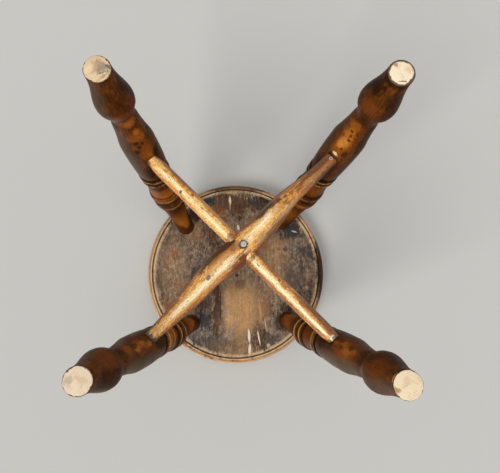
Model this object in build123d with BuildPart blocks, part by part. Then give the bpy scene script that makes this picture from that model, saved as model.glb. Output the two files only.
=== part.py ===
"""Small country stool: a round seat on four splayed turned legs, braced by two crossed stretchers.

The legs pass right through the seat in tapered mortises and are spread by wedges. The thin stretcher is
threaded through the swelled one. Millimetres, +Z up, feet on Z = 0, front towards -Y.
"""

from build123d import *
import os

os.makedirs("parts", exist_ok=True)

# ---------------------------------------------------------------- driving dimensions
stool_height = 460.0
glue_gap = 0.05  # between a tenon and its hole, on the radius

# Seat: one turned board, grain front to back, a little narrower where it has shrunk across the grain
seat_thickness = 28.0
seat_along_grain = 280.0
seat_across_grain = 275.0
seat_centre = (-1.2, -1.8)
seat_underside = stool_height - seat_thickness
nose_width = 9.4  # from the seat's outer edge in to the flat underside
quirk_depth = 1.8  # turned line between the flat underside and the rounded nose
quirk_width = 2.6
nose_height = 12.0  # of the widest point above the underside
top_round = 7.0
planing_waste = 2.0  # left on both faces while the edge is turned

# Legs: centre of the foot on the floor, centre at the seat's underside, and how far along the leg
# its rings were turned from the pattern
legs = {
    "front_left": ((-145.5, -151.3), (-79.9, -73.8), -6.0),
    "front_right": ((153.4, -151.1), (71.4, -82.4), 2.0),
    "back_left": ((-153.5, 146.1), (-69.3, 76.9), 0.0),
    "back_right": ((148.0, 151.4), (76.7, 72.9), 0.0),
}
foot_radius = 14.3
foot_chamfer = 0.8
bulb_radius = 22.0
bulb_station = 58.0
neck_radius = 14.8
neck_station = 84.0
baluster_radius = 21.4
baluster_station = 186.0
shoulder_station = 148.0
ring_station = 235.0  # where the first pair of rings starts
drum_station = 262.0
upper_ring_station = 295.0
plain_station = 345.0  # where the plain top of the leg starts
plain_radius = 15.7
top_radius = 12.4  # of the leg where it enters the seat
leg_length = 444.0  # along the leg, floor to underside
leg_taper = (plain_radius - top_radius) / (leg_length - plain_station)
overrun = 40.0  # waste at both ends, trimmed off level

# Wedges: across the grain, so that they don't split the board
wedge_depth = 22.0
wedge_thick = 3.6
wedge_thin = 0.8

# Main stretcher: swelled and shaped by hand; its tenons end at these points inside two legs
main_ends = (Vector(-119.4, 117.2, 172.6), Vector(122.0, -123.5, 165.6))
main_tenon_radius = 8.0
main_swell = [  # distance along it from its middle, and thickness, from one tenon's root to the other
    (-145.0, 16.0),
    (-103.0, 22.2),
    (-60.0, 29.2),
    (-24.0, 35.4),
    (6.0, 34.4),
    (30.0, 32.0),
    (50.0, 30.6),
    (75.0, 24.8),
    (106.0, 19.8),
    (145.0, 16.0),
]

# Cross stretcher: a plain round bar, eased down to its tenons; it passes through the main one
cross_ends = (Vector(-120.5, -119.3, 165.0), Vector(120.5, 119.4, 168.0))
cross_radius = 9.0
cross_tenon_radius = 7.2
cross_tenon_length = 24.5
cross_easing = 8.0  # length over which it thickens from a tenon
cross_bore_half = 24.0  # half the length of the hole cut for it, longer than the main one is thick

# Nails: one up through both stretchers where they cross, two small ones into the legs at stretcher ends
crossing_head = (4.2, 1.9)  # radius and height of the domed head
crossing_shank = (1.4, 26.0)  # radius and length
crossing_nail_at = Vector(1.6, -3.1, 152.6)
crossing_recess = 5.2  # radius of the recess the head sits in
end_head = (2.2, 1.1)
end_shank = (0.9, 20.0)
end_nails = {  # underside of the head; the nail leans towards the leg by this much, per unit of rise
    "front_right": Vector(106.8, -107.9, 157.2),
    "back_right": Vector(105.6, 104.8, 160.4),
}
end_nail_lean = 0.7


# ---------------------------------------------------------------- geometry of a leg
def leg_line(name):
    """Foot centre and the unit direction up the leg."""
    foot_xy, seat_xy, _ = legs[name]
    foot = Vector(*foot_xy, 0)
    return foot, (Vector(*seat_xy, seat_underside) - foot).normalized()


def leg_plane(name):
    """Sketch plane whose X is the radius and whose Y is the station along the leg."""
    foot, up = leg_line(name)
    across = up.cross(Vector(0, 0, 1)).normalized()
    return Plane(origin=foot, x_dir=across, z_dir=across.cross(up))


def leg_point(name, height):
    """Point of the leg's axis at a height above the floor."""
    foot, up = leg_line(name)
    return foot + up * (height / up.Z)


def taper_radius(station):
    """Radius of the plain top of the leg, which runs on as its tenon."""
    return top_radius + (leg_length - station) * leg_taper


def leg_outline(shift):
    """Half section of a turned leg, as (radius, station) curves from the floor up."""

    def at(radius, station):
        slip = min(max((station - shoulder_station) / (ring_station - shoulder_station), 0.0), 1.0)
        return (radius, station + shift * slip)

    below = at(foot_radius, -overrun)
    ankle = at(foot_radius + 0.6, 12)
    neck = at(neck_radius, neck_station)
    shoulder = at(baluster_radius - 0.3, shoulder_station)
    waist = at(baluster_radius - 1.6, ring_station)
    ring_groove = at(baluster_radius - 2.0, ring_station + 13.5)
    ring_end = at(baluster_radius - 2.9, drum_station)
    drum_end = at(baluster_radius - 1.5, upper_ring_station)
    upper_groove = at(baluster_radius - 1.7, upper_ring_station + 16)
    upper_end = at(plain_radius + 0.6, plain_station - 3)
    plain = at(plain_radius, plain_station)
    tip = (taper_radius(leg_length + overrun), leg_length + overrun)

    Polyline((0, -overrun), below, ankle)
    Spline(ankle, at(18.6, 36), at(bulb_radius, bulb_station), at(18.6, 71), neck)
    Spline(neck, at(16.4, 102), at(18.5, 126), shoulder)
    ThreePointArc(shoulder, at(baluster_radius, baluster_station), waist)
    ThreePointArc(waist, at(baluster_radius - 0.1, ring_station + 6.5), ring_groove)
    ThreePointArc(ring_groove, at(baluster_radius - 0.8, ring_station + 19), ring_end)
    ThreePointArc(ring_end, at(baluster_radius - 1.5, drum_station + 20), drum_end)
    ThreePointArc(drum_end, at(baluster_radius + 0.1, upper_ring_station + 8), upper_groove)
    ThreePointArc(upper_groove, at(baluster_radius - 0.1, upper_ring_station + 32), upper_end)
    Polyline(upper_end, plain, tip, (0, leg_length + overrun), (0, -overrun))


def tenon_outline(grow=0.0):
    """Half section of the leg's tapered top, as a closed outline."""
    low, high = leg_length - overrun, leg_length + overrun
    low_radius, high_radius = taper_radius(low) + grow, taper_radius(high) + grow
    Polyline((0, low), (low_radius, low), (high_radius, high), (0, high), close=True)


def wedge_prism(name, rise=0.0):
    """Prism with the wedge's tapered section, lying across the grain; rise carries it above the seat."""
    slope = (wedge_thick - wedge_thin) / (2 * wedge_depth)
    half_top = wedge_thick / 2 + slope * rise
    half_tip = wedge_thin / 2
    upright = Plane(origin=leg_point(name, stool_height), x_dir=(0, 1, 0), z_dir=(1, 0, 0))
    with BuildPart() as prism:
        with BuildSketch(upright):
            with BuildLine():
                Polyline(
                    (-half_top, rise),
                    (-half_tip, -wedge_depth),
                    (half_tip, -wedge_depth),
                    (half_top, rise),
                    close=True,
                )
            make_face()
        extrude(amount=2 * top_radius, both=True)
    return prism.part


# ---------------------------------------------------------------- geometry of the stretchers
def stretcher_planes(ends):
    """Two planes at a stretcher's middle: square to it, and its half section (X radius, Y along)."""
    middle = (ends[0] + ends[1]) * 0.5
    along = (ends[1] - ends[0]).normalized()
    level = Vector(0, 0, 1).cross(along).normalized()
    square = Plane(origin=middle, x_dir=level, z_dir=along)
    section = Plane(origin=middle, x_dir=level, z_dir=level.cross(along))
    return square, section


def half_length(ends):
    """Half the length of a stretcher, tenons included."""
    return (ends[1] - ends[0]).length / 2


sockets = {  # for each leg: end of the tenon it holds, the stretcher's far end, and the tenon's radius
    "front_left": (cross_ends[0], cross_ends[1], cross_tenon_radius),
    "front_right": (main_ends[1], main_ends[0], main_tenon_radius),
    "back_left": (main_ends[0], main_ends[1], main_tenon_radius),
    "back_right": (cross_ends[1], cross_ends[0], cross_tenon_radius),
}


# ---------------------------------------------------------------- nails
def make_nail(plane, head, shank, grow=0.0):
    """Dome-headed nail; the plane lies under its head and faces its point. Grown, it is its own hole."""
    head_radius, head_height = head
    shank_radius, length = shank
    outer, inner = head_radius + grow, shank_radius + grow
    with BuildPart() as nail:
        with BuildSketch(Plane(origin=plane.origin, x_dir=plane.x_dir, z_dir=plane.y_dir * -1)):
            with BuildLine():
                ThreePointArc((0, -head_height), (0.75 * head_radius, -0.55 * head_height), (outer, 0))
                Polyline(
                    (outer, 0),
                    (inner, grow),
                    (inner, length - 3 * shank_radius),
                    (0, length + grow),
                    (0, -head_height),
                )
            make_face()
        revolve(axis=Axis(plane.origin, plane.z_dir))
    return nail.part


def make_end_nail(name, grow=0.0):
    """Small nail driven up at a slant, through a stretcher's end and into its leg."""
    tenon_end, far_end, _ = sockets[name]
    outward = Vector(tenon_end.X - far_end.X, tenon_end.Y - far_end.Y, 0).normalized()
    way = Vector(outward.X * end_nail_lean, outward.Y * end_nail_lean, 1).normalized()
    return make_nail(Plane(origin=end_nails[name], z_dir=way), end_head, end_shank, grow)


def make_crossing_nail(grow=0.0):
    """Larger nail driven straight up where the stretchers cross."""
    return make_nail(Plane(origin=crossing_nail_at, z_dir=(0, 0, 1)), crossing_head, crossing_shank, grow)


# ---------------------------------------------------------------- seat
def make_seat():
    """Round board, turned at its lower edge, shrunk oval across the grain, planed flat and bored."""
    rim = seat_along_grain / 2
    flat_edge = rim - nose_width
    centre = Vector(*seat_centre, 0)
    rough_top = stool_height + planing_waste
    rough_underside = seat_underside - planing_waste
    quirk_floor = (flat_edge + quirk_width / 2, seat_underside + quirk_depth)
    nose_foot = (flat_edge + quirk_width, seat_underside + 0.5)
    nose_tip = (rim, seat_underside + nose_height)
    top_edge = (rim - top_round, stool_height)
    with BuildPart() as seat:
        with BuildSketch(Plane(origin=centre, x_dir=(1, 0, 0), z_dir=(0, -1, 0))):
            with BuildLine():
                Polyline((0, rough_top), (0, rough_underside), (flat_edge, rough_underside))
                Polyline((flat_edge, rough_underside), (flat_edge, seat_underside), quirk_floor, nose_foot)
                ThreePointArc(nose_foot, (rim - 2.2, seat_underside + 5.0), nose_tip)
                ThreePointArc(nose_tip, (rim - 1.7, stool_height - 5.6), top_edge)
                Polyline(top_edge, (top_edge[0], rough_top), (0, rough_top))
            make_face()
        revolve(axis=Axis(centre, (0, 0, 1)))
        scale(by=(seat_across_grain / seat_along_grain, 1, 1))
        split(bisect_by=Plane.XY.offset(stool_height), keep=Keep.BOTTOM)
        split(bisect_by=Plane.XY.offset(seat_underside), keep=Keep.TOP)
        for name in legs:
            with BuildSketch(leg_plane(name)):
                with BuildLine():
                    tenon_outline(glue_gap)
                make_face()
            revolve(axis=Axis(*leg_line(name)), mode=Mode.SUBTRACT)
    return seat.part


# ---------------------------------------------------------------- legs and their wedges
def make_leg(name):
    """One turned leg, cut level at both ends, with its socket, its wedge slot and any nail hole."""
    tenon_end, far_end, tenon_radius = sockets[name]
    with BuildPart() as leg:
        with BuildSketch(leg_plane(name)):
            with BuildLine():
                leg_outline(legs[name][2])
            make_face()
        revolve(axis=Axis(*leg_line(name)))
        split(bisect_by=Plane.XY, keep=Keep.TOP)
        split(bisect_by=Plane.XY.offset(stool_height), keep=Keep.BOTTOM)
        chamfer(leg.faces().sort_by(Axis.Z)[0].edges(), foot_chamfer)
        with BuildSketch(Plane(origin=tenon_end, z_dir=(far_end - tenon_end).normalized())):
            Circle(tenon_radius + glue_gap)
        extrude(amount=3 * baluster_radius, mode=Mode.SUBTRACT)
        add(wedge_prism(name, rise=1.0), mode=Mode.SUBTRACT)
        if name in end_nails:
            add(make_end_nail(name, glue_gap), mode=Mode.SUBTRACT)
    return leg.part


def make_wedge(name):
    """Wedge that fills the slot in a leg's tenon, flush with the seat."""
    with BuildPart() as wedge:
        add(wedge_prism(name))
        with BuildSketch(leg_plane(name)):
            with BuildLine():
                tenon_outline()
            make_face()
        revolve(axis=Axis(*leg_line(name)), mode=Mode.INTERSECT)
    return wedge.part


# ---------------------------------------------------------------- stretchers
def make_main_stretcher():
    """Swelled stretcher with round tenons, bored for the thin one and for the nails."""
    end = half_length(main_ends)
    axis_plane, profile_plane = stretcher_planes(main_ends)
    with BuildPart() as stretcher:
        with BuildSketch(profile_plane):
            with BuildLine():
                swell = Spline(*[(thickness / 2, distance) for distance, thickness in main_swell])
                Polyline(swell @ 1, (main_tenon_radius, end), (0, end), (0, 0))
                Polyline((0, 0), (0, -end), (main_tenon_radius, -end), swell @ 0)
            make_face()
        revolve(axis=Axis(axis_plane.origin, axis_plane.z_dir))
        with BuildSketch(stretcher_planes(cross_ends)[0]):
            Circle(cross_radius + glue_gap)
        extrude(amount=cross_bore_half, both=True, mode=Mode.SUBTRACT)
        with BuildSketch(Plane(origin=crossing_nail_at)):
            Circle(crossing_recess)
        extrude(amount=-crossing_recess, mode=Mode.SUBTRACT)
        add(make_crossing_nail(glue_gap), mode=Mode.SUBTRACT)
        add(make_end_nail("front_right", glue_gap), mode=Mode.SUBTRACT)
    return stretcher.part


def make_cross_stretcher():
    """Thin round stretcher, drilled by the crossing nail and by the nail at its end."""
    end = half_length(cross_ends)
    axis_plane, profile_plane = stretcher_planes(cross_ends)
    with BuildPart() as stretcher:
        with BuildSketch(profile_plane):
            with BuildLine():
                Polyline(
                    (0, -end),
                    (cross_tenon_radius, -end),
                    (cross_tenon_radius, -end + cross_tenon_length),
                    (cross_radius, -end + cross_tenon_length + cross_easing),
                    (cross_radius, end - cross_tenon_length - cross_easing),
                    (cross_tenon_radius, end - cross_tenon_length),
                    (cross_tenon_radius, end),
                    (0, end),
                    close=True,
                )
            make_face()
        revolve(axis=Axis(axis_plane.origin, axis_plane.z_dir))
        add(make_crossing_nail(glue_gap), mode=Mode.SUBTRACT)
        add(make_end_nail("back_right", glue_gap), mode=Mode.SUBTRACT)
    return stretcher.part


# ---------------------------------------------------------------- every piece, in its place
pieces = {"seat": make_seat()}
for leg_name in legs:
    pieces["leg_" + leg_name] = make_leg(leg_name)
    pieces["wedge_" + leg_name] = make_wedge(leg_name)
pieces["main_stretcher"] = make_main_stretcher()
pieces["cross_stretcher"] = make_cross_stretcher()
pieces["crossing_nail"] = make_crossing_nail()
for leg_name in end_nails:
    pieces["nail_" + leg_name] = make_end_nail(leg_name)

for label, piece in pieces.items():
    piece.label = label
    export_step(piece, f"parts/{label}.step")
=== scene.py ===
"""Looks of a small staked stool: turned legs, a round seat, two crossed stretchers and their nails.

Every piece is built in place, in metres, in the part's own frame: feet on Z = 0, seat at the top.
Sizes are written in millimetres and scaled by MM, as they are in the part's source. A place on a turned
piece is its station along the piece and its bearing round it, in degrees from local X.
"""

from __future__ import annotations

import logging
import math
from dataclasses import dataclass
from enum import Enum
from functools import reduce
from typing import Callable, Sequence

import bmesh
import bpy
from mathutils import Matrix, Quaternion, Vector, noise


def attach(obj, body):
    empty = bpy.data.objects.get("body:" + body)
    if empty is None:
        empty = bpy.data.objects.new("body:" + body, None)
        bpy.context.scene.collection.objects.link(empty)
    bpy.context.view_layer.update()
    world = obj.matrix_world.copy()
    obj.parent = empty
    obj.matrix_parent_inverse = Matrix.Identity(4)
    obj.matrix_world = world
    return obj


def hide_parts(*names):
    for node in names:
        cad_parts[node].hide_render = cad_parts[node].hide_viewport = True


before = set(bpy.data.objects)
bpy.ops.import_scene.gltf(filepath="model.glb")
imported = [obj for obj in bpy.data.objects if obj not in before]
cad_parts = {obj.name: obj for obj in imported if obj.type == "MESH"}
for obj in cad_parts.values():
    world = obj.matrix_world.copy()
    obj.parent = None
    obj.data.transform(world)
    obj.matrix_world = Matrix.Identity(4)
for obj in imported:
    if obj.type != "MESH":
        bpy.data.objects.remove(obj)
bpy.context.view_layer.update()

MM = 0.001
STOOL_HEIGHT = 460.0
SEAT_UNDERSIDE = 432.0
LEG_TIP = 473.0  # Station at which a leg comes out of the seat's top.
SHARP_ANGLE = 32.0  # Edges that turn by more degrees than this stay sharp.
ON_AXIS = 1e-4  # A point nearer its piece's axis than this, in metres, counts as on it.
WELD = 1e-6  # Points nearer each other than this, in metres, become one.
CUTTER_SEGMENTS = 64

Colour = tuple[float, float, float]
Place = tuple[float, float, float]
Pair = tuple[float, float]
Profile = list[Pair]
Stops = Sequence[tuple[float, Colour]]
Shell = bmesh.types.BMesh
Socket = bpy.types.NodeSocket
log = logging.getLogger("stool")


class Slot(Enum):
    """Material slots named for the pieces made here."""

    SEAT = "seat_wood"
    LEG = "leg_wood"
    MAIN = "main_stretcher_wood"
    CROSS = "cross_stretcher_wood"
    NAIL = "nail_iron"


class Tint(Enum):
    """Colours of the marks that use and age have left, and of the painted highlights, sheen and shade among
    them.
    """

    PITCH = (0.014, 0.005, 0.0015)
    UMBER = (0.065, 0.022, 0.005)
    # Only used for painted sheen along the legs' flanks.
    OLIVE = (0.075, 0.044, 0.015)
    RED_BROWN = (0.165, 0.042, 0.007)
    RUST = (0.29, 0.080, 0.009)
    AMBER = (0.46, 0.140, 0.016)
    ORANGE = (0.58, 0.235, 0.045)
    HONEY = (0.66, 0.33, 0.095)
    STRAW = (0.82, 0.49, 0.17)
    CREAM = (0.96, 0.78, 0.46)
    ASH = (0.32, 0.27, 0.21)
    SLATE = (0.030, 0.030, 0.032)
    TAN = (0.38, 0.200, 0.080)
    FAWN = (0.57, 0.35, 0.165)
    PLUM = (0.060, 0.026, 0.026)
    CHALK = (0.80, 0.68, 0.50)
    LEAD = (0.105, 0.105, 0.100)


class Lay(Enum):
    """How one colour goes on another."""

    COVER = "MIX"
    STAIN = "MULTIPLY"


MarkRow = tuple[Tint, float, float, Pair, float]  # As marks_round takes it.
WHITE: Colour = (1.0, 1.0, 1.0)
MARK_FADE = (1.2, 0.55)  # Where a mark starts and where it is full, over its own reach.
MARK_DEPTH = 1.1  # Depth of a mark on a turned piece, over the piece's radius.
SOLE_MARK_DEPTH = 9.0
BOARD_MARK_DEPTH = 6.0
WAXED_TENON = {"pale": (0.15, 0.065, 0.024), "mid": (0.06, 0.024, 0.01), "dirty": (0.012, 0.006, 0.004)}
WAXED_WEDGE = {"pale": (0.26, 0.13, 0.05), "mid": (0.13, 0.055, 0.02), "dirty": (0.05, 0.02, 0.01)}


# ------------------------------------------------------------------------------------------ shapes
def point(*coordinates: float) -> Vector:
    """A place given in millimetres, in metres."""
    return Vector(coordinates) * MM


def frame_matrix(origin: Vector, along: Vector) -> Matrix:
    """Local frame of a turned piece.

    Args:
        origin: Where the piece's axis starts.
        along: Direction of the axis, which becomes local Z.

    Returns:
        The matrix whose X is level, whose Y completes it and whose Z runs along the piece.
    """
    z_axis = along.normalized()
    x_axis = z_axis.cross(Vector((0, 0, 1))).normalized()
    y_axis = z_axis.cross(x_axis)
    rotation = Matrix((x_axis, y_axis, z_axis)).transposed()
    return Matrix.Translation(origin) @ rotation.to_4x4()


def bow(start: Pair, end: Pair, rise: float, steps: int) -> Profile:
    """Half-round bead or hollow between two points of a profile, without its last point.

    Args:
        start: Radius and station where it begins.
        end: Radius and station where it ends.
        rise: Height of the bead over the line between them; negative for a hollow.
        steps: Number of runs.

    Returns:
        The (radius, station) points.
    """
    points = []
    for i in range(steps):
        turn = math.pi * i / steps
        share = (1 - math.cos(turn)) / 2
        radius = start[0] + (end[0] - start[0]) * share + rise * math.sin(turn)
        points.append((radius, start[1] + (end[1] - start[1]) * share))
    return points


def flow(knots: Sequence[Pair], step: float) -> Profile:
    """Smooth curve through knots of a profile, without its last point.

    Args:
        knots: Radius and station of each knot, in order of station.
        step: Spacing of the points along the piece.

    Returns:
        The (radius, station) points, on a Catmull-Rom curve.
    """
    points = []
    for i in range(len(knots) - 1):
        before, start = knots[max(i - 1, 0)], knots[i]
        end, after = knots[i + 1], knots[min(i + 2, len(knots) - 1)]
        span = end[1] - start[1]
        slope_in = (end[0] - before[0]) / (end[1] - before[1]) * span
        slope_out = (after[0] - start[0]) / (after[1] - start[1]) * span
        count = max(1, round(span / step))
        for k in range(count):
            t = k / count
            radius = (
                (2 * t**3 - 3 * t**2 + 1) * start[0]
                + (t**3 - 2 * t**2 + t) * slope_in
                + (3 * t**2 - 2 * t**3) * end[0]
                + (t**3 - t**2) * slope_out
            )
            points.append((radius, start[1] + span * t))
    return points


def ramp(value: float, low: float, high: float) -> float:
    """0 below low, 1 above high and straight between them."""
    return min(max((value - low) / (high - low), 0.0), 1.0)


def bell(value: float, centre: float, width: float) -> float:
    """1 at the centre, falling off smoothly over about a width."""
    return math.exp(-(((value - centre) / width) ** 2))


def spin(profile: Profile, segments: int, matrix: Matrix | None = None) -> Shell:
    """Turns a half section about local Z.

    Args:
        profile: Radius and station of each point, in millimetres, from axis to axis.
        segments: Steps round the piece.
        matrix: Frame to set the result in.

    Returns:
        A closed shell in metres, its faces outwards.
    """
    turned = bmesh.new()
    verts = [turned.verts.new(point(radius, 0, station)) for radius, station in profile]
    edges = [turned.edges.new(pair) for pair in zip(verts, verts[1:])]
    turn = {"cent": (0, 0, 0), "axis": (0, 0, 1), "angle": math.tau}
    bmesh.ops.spin(turned, geom=verts + edges, steps=segments, use_merge=True, **turn)
    bmesh.ops.remove_doubles(turned, verts=turned.verts, dist=WELD)
    bmesh.ops.recalc_face_normals(turned, faces=turned.faces)
    if matrix is not None:
        bmesh.ops.transform(turned, matrix=matrix, verts=turned.verts)
    return turned


def saw(shell: Shell, height: float, keep_above: bool, material: int) -> list[bmesh.types.BMFace]:
    """Saws a shell level at a height and closes the cut.

    Args:
        shell: The shell to cut.
        height: Height of the cut, in metres.
        keep_above: Whether the part above the cut stays.
        material: Material index of the sawn face.

    Returns:
        The new faces.
    """
    cut = bmesh.ops.bisect_plane(
        shell,
        geom=shell.verts[:] + shell.edges[:] + shell.faces[:],
        plane_co=(0, 0, height),
        plane_no=(0, 0, -1 if keep_above else 1),
        clear_outer=True,
    )
    rim = [e for e in cut["geom_cut"] if isinstance(e, bmesh.types.BMEdge)]
    faces = bmesh.ops.holes_fill(shell, edges=rim, sides=0)["faces"]
    for face in faces:
        face.material_index = material
    bmesh.ops.recalc_face_normals(shell, faces=shell.faces)
    return faces


def unevenness(place: Vector, size: float, seed: int) -> float:
    """Smooth noise between -1 and 1, with features about size metres wide."""
    return noise.noise(place / size + Vector((seed * 17.3, seed * 5.1, seed * 9.7)))


def dents(place: Vector, size: float, seed: int, level: float, depth: float) -> float:
    """Depth of scattered dents: what of the noise stands over a level, times a depth."""
    return max(unevenness(place, size, seed) - level, 0.0) * depth


def as_piece(
    shell: Shell, name: str, materials: Sequence[bpy.types.Material] = (), sharp: float = SHARP_ANGLE
) -> bpy.types.Object:
    """Turns a shell into an object of the scene, shaded smooth but for its sharp edges.

    Args:
        shell: The mesh, in place; it is freed.
        name: Name of the piece.
        materials: Its finishes, in order of material index.
        sharp: Edges that turn by more degrees than this stay sharp.

    Returns:
        The new object, at the origin.
    """
    mesh = bpy.data.meshes.new(name)
    shell.to_mesh(mesh)
    shell.free()
    for material in materials:
        mesh.materials.append(material)
    piece = bpy.data.objects.new(name, mesh)
    bpy.context.scene.collection.objects.link(piece)
    mesh.shade_smooth()
    mesh.set_sharp_from_angle(angle=math.radians(sharp))
    return piece


def volume_of(mesh: bpy.types.Mesh) -> float:
    """Volume inside a mesh.

    Args:
        mesh: The mesh, closed.

    Returns:
        The volume in cubic metres, negative if the mesh is inside out.
    """
    solid = bmesh.new()
    solid.from_mesh(mesh)
    volume = solid.calc_volume(signed=True)
    solid.free()
    return volume


def cut_away(piece: bpy.types.Object, cutters: Sequence[Shell], sharp: float = SHARP_ANGLE) -> None:
    """Cuts holes in a piece and keeps the result as its mesh.

    Args:
        piece: The piece to cut.
        cutters: Closed shells of the holes; they are freed.
        sharp: Edges that turn by more degrees than this stay sharp.

    Raises:
        RuntimeError: A cut turned the piece inside out or took nothing away.
    """
    for number, shell in enumerate(cutters):
        volume = volume_of(piece.data)
        cutter = as_piece(shell, f"{piece.name}_cutter_{number}")
        hole = piece.modifiers.new("hole", "BOOLEAN")
        hole.operation = "DIFFERENCE"
        hole.solver = "EXACT"
        hole.object = cutter
        graph = bpy.context.evaluated_depsgraph_get()
        finished = bpy.data.meshes.new_from_object(piece.evaluated_get(graph))
        piece.modifiers.clear()
        piece.data = finished
        bpy.data.objects.remove(cutter)
        if not 0 < volume_of(finished) < volume:
            raise RuntimeError(f"hole {number} of {piece.name} wasn't cut")
    piece.data.set_sharp_from_angle(angle=math.radians(sharp))


def place(piece: bpy.types.Object, slot: Slot, *nodes: str) -> None:
    """Makes a piece ride on the part and stand for its CAD nodes.

    Args:
        piece: The piece.
        slot: Its material slot; not used.
        nodes: The CAD nodes that it replaces.
    """
    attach(piece, "root")
    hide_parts(*nodes)
    log.info("%s: %d faces, stands for %s", piece.name, len(piece.data.polygons), ", ".join(nodes))


# ---------------------------------------------------------------------------------------- finishes
class Layout:
    """A node tree, laid out a node a call. An input may get a socket or a plain value."""

    def __init__(self, tree: bpy.types.NodeTree) -> None:
        """Starts with an empty tree."""
        self.tree = tree
        self.tree.nodes.clear()

    def feed(self, socket: Socket, value: object) -> None:
        """Links an input or sets its value.

        Args:
            socket: The input.
            value: What it gets; a plain colour needs no alpha.
        """
        if isinstance(value, bpy.types.NodeSocket):
            self.tree.links.new(value, socket)
        elif socket.type == "RGBA":
            socket.default_value = (*value, 1.0)
        else:
            socket.default_value = value

    def node(self, kind: str, inputs: dict[int | str, object], **settings: object) -> bpy.types.Node:
        """Adds a node.

        Args:
            kind: Its type, such as "Math".
            inputs: What its inputs get, by name or number.
            settings: Its own settings, such as its operation.

        Returns:
            The node.
        """
        node = self.tree.nodes.new(f"ShaderNode{kind}")
        for name, value in settings.items():
            setattr(node, name, value)
        for key, value in inputs.items():
            self.feed(node.inputs[key], value)
        return node


class Bench(Layout):
    """Lays out one material."""

    def __init__(self, name: str) -> None:
        """Starts an empty material."""
        self.material = bpy.data.materials.new(name)
        self.material.use_nodes = True
        super().__init__(self.material.node_tree)

    def coordinates(self) -> Socket:
        """Object coordinates, in metres."""
        return self.node("TexCoord", {}).outputs["Object"]

    def local(self, matrix: Matrix, size: Place = (1, 1, 1)) -> Socket:
        """Coordinates in a piece's own frame, over the sizes of a feature.

        Args:
            matrix: The frame.
            size: What counts as one unit along each axis, in metres.

        Returns:
            The vector.
        """
        inputs = {
            "Vector": self.coordinates(),
            "Location": matrix.to_translation(),
            "Rotation": matrix.to_euler("XYZ"),
            "Scale": size,
        }
        return self.node("Mapping", inputs, vector_type="TEXTURE").outputs[0]

    def scaled(self, vector: Socket, factors: Place) -> Socket:
        """A vector times a factor for each axis."""
        return self.node("VectorMath", {0: vector, 1: factors}, operation="MULTIPLY").outputs[0]

    def length(self, vector: Socket) -> Socket:
        """Length of a vector."""
        return self.node("VectorMath", {0: vector}, operation="LENGTH").outputs["Value"]

    def noise(self, vector: Socket, scale: float, detail: float, roughness: float) -> Socket:
        """Fractal noise from 0 to 1, with scale features to the metre."""
        inputs = {"Vector": vector, "Scale": scale, "Detail": detail, "Roughness": roughness}
        return self.node("TexNoise", inputs).outputs["Fac"]

    def maths(self, operation: str, first: object, second: object, clamp: bool = False) -> Socket:
        """One arithmetic step, kept from 0 to 1 if clamp is set."""
        return self.node("Math", {0: first, 1: second}, operation=operation, use_clamp=clamp).outputs[0]

    def times(self, first: object, second: object) -> Socket:
        """One value times another."""
        return self.maths("MULTIPLY", first, second)

    def plus(self, first: object, second: object) -> Socket:
        """One value plus another."""
        return self.maths("ADD", first, second)

    def minus(self, first: object, second: object) -> Socket:
        """One value less another."""
        return self.maths("SUBTRACT", first, second)

    def blend(self, *parts: tuple[Socket, float]) -> Socket:
        """Sum of several values, each times its weight."""
        return reduce(self.plus, (self.times(value, weight) for value, weight in parts))

    def rise(self, value: Socket, low: float, high: float, top: float = 1.0) -> Socket:
        """Smooth step.

        Args:
            value: What it follows.
            low: Where it is 0.
            high: Where it is at its top; this may be less than low.
            top: Its top.

        Returns:
            The step.
        """
        ends = (0.0, top) if low < high else (top, 0.0)
        inputs = {"Value": value, "From Min": min(low, high), "From Max": max(low, high)}
        inputs |= {"To Min": ends[0], "To Max": ends[1]}
        return self.node("MapRange", inputs, interpolation_type="SMOOTHSTEP").outputs["Result"]

    def shades(self, value: Socket, stops: Stops) -> Socket:
        """Colour that changes with a value.

        Args:
            value: What the colour follows, from 0 to 1.
            stops: Place and colour of each stop.

        Returns:
            The colour.
        """
        node = self.node("ValToRGB", {"Fac": value})
        elements = node.color_ramp.elements
        while len(elements) < len(stops):
            elements.new(0.5)
        for element, (position, colour) in zip(elements, stops):
            element.position = position
            element.color = (*colour, 1.0)
        return node.outputs["Color"]

    def mix(self, share: object, under: object, over: object, lay: Lay = Lay.COVER) -> Socket:
        """Lays one colour over another.

        Args:
            share: How fully it covers, from 0 to 1.
            under: The colour below.
            over: The colour on top.
            lay: How it goes on.

        Returns:
            The colour that results.
        """
        # The node has a pair of inputs for each kind of value: 6 and 7 are the colours, out at 2.
        inputs = {0: share, 6: under, 7: over}
        return self.node("Mix", inputs, data_type="RGBA", blend_type=lay.value).outputs[2]

    def attribute(self, name: str) -> Socket:
        """A value stored on the piece's points."""
        return self.node("Attribute", {}, attribute_name=name).outputs["Fac"]

    def bump(self, height: Socket, strength: float, distance: float, below: Socket | None = None) -> Socket:
        """Fine relief.

        Args:
            height: Its height, from 0 to 1.
            strength: How strongly it shows.
            distance: What a height of 1 stands for, in metres.
            below: Relief that it lies on.

        Returns:
            The relief.
        """
        inputs = {"Height": height, "Strength": strength, "Distance": distance}
        if below is not None:
            inputs["Normal"] = below
        return self.node("Bump", inputs).outputs[0]

    def finish(
        self, colour: Socket, roughness: object, relief: Socket, shine: float, sheen: Colour = WHITE,
        metal: float = 0.0,
    ) -> bpy.types.Material:
        """Ends the material with a polished, matt or metal surface.

        Args:
            colour: Base colour.
            roughness: Roughness, even or varied.
            relief: Fine relief.
            shine: Specular level, 0.5 for a plain polished surface.
            sheen: Colour of the reflection seen straight on.
            metal: 1 for bare metal.

        Returns:
            The finished material.
        """
        inputs = {
            "Base Color": colour,
            "Roughness": roughness,
            "Normal": relief,
            "Specular IOR Level": shine,
            "Specular Tint": sheen,
            "Metallic": metal,
        }
        return self.close(self.node("BsdfPrincipled", inputs))

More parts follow.
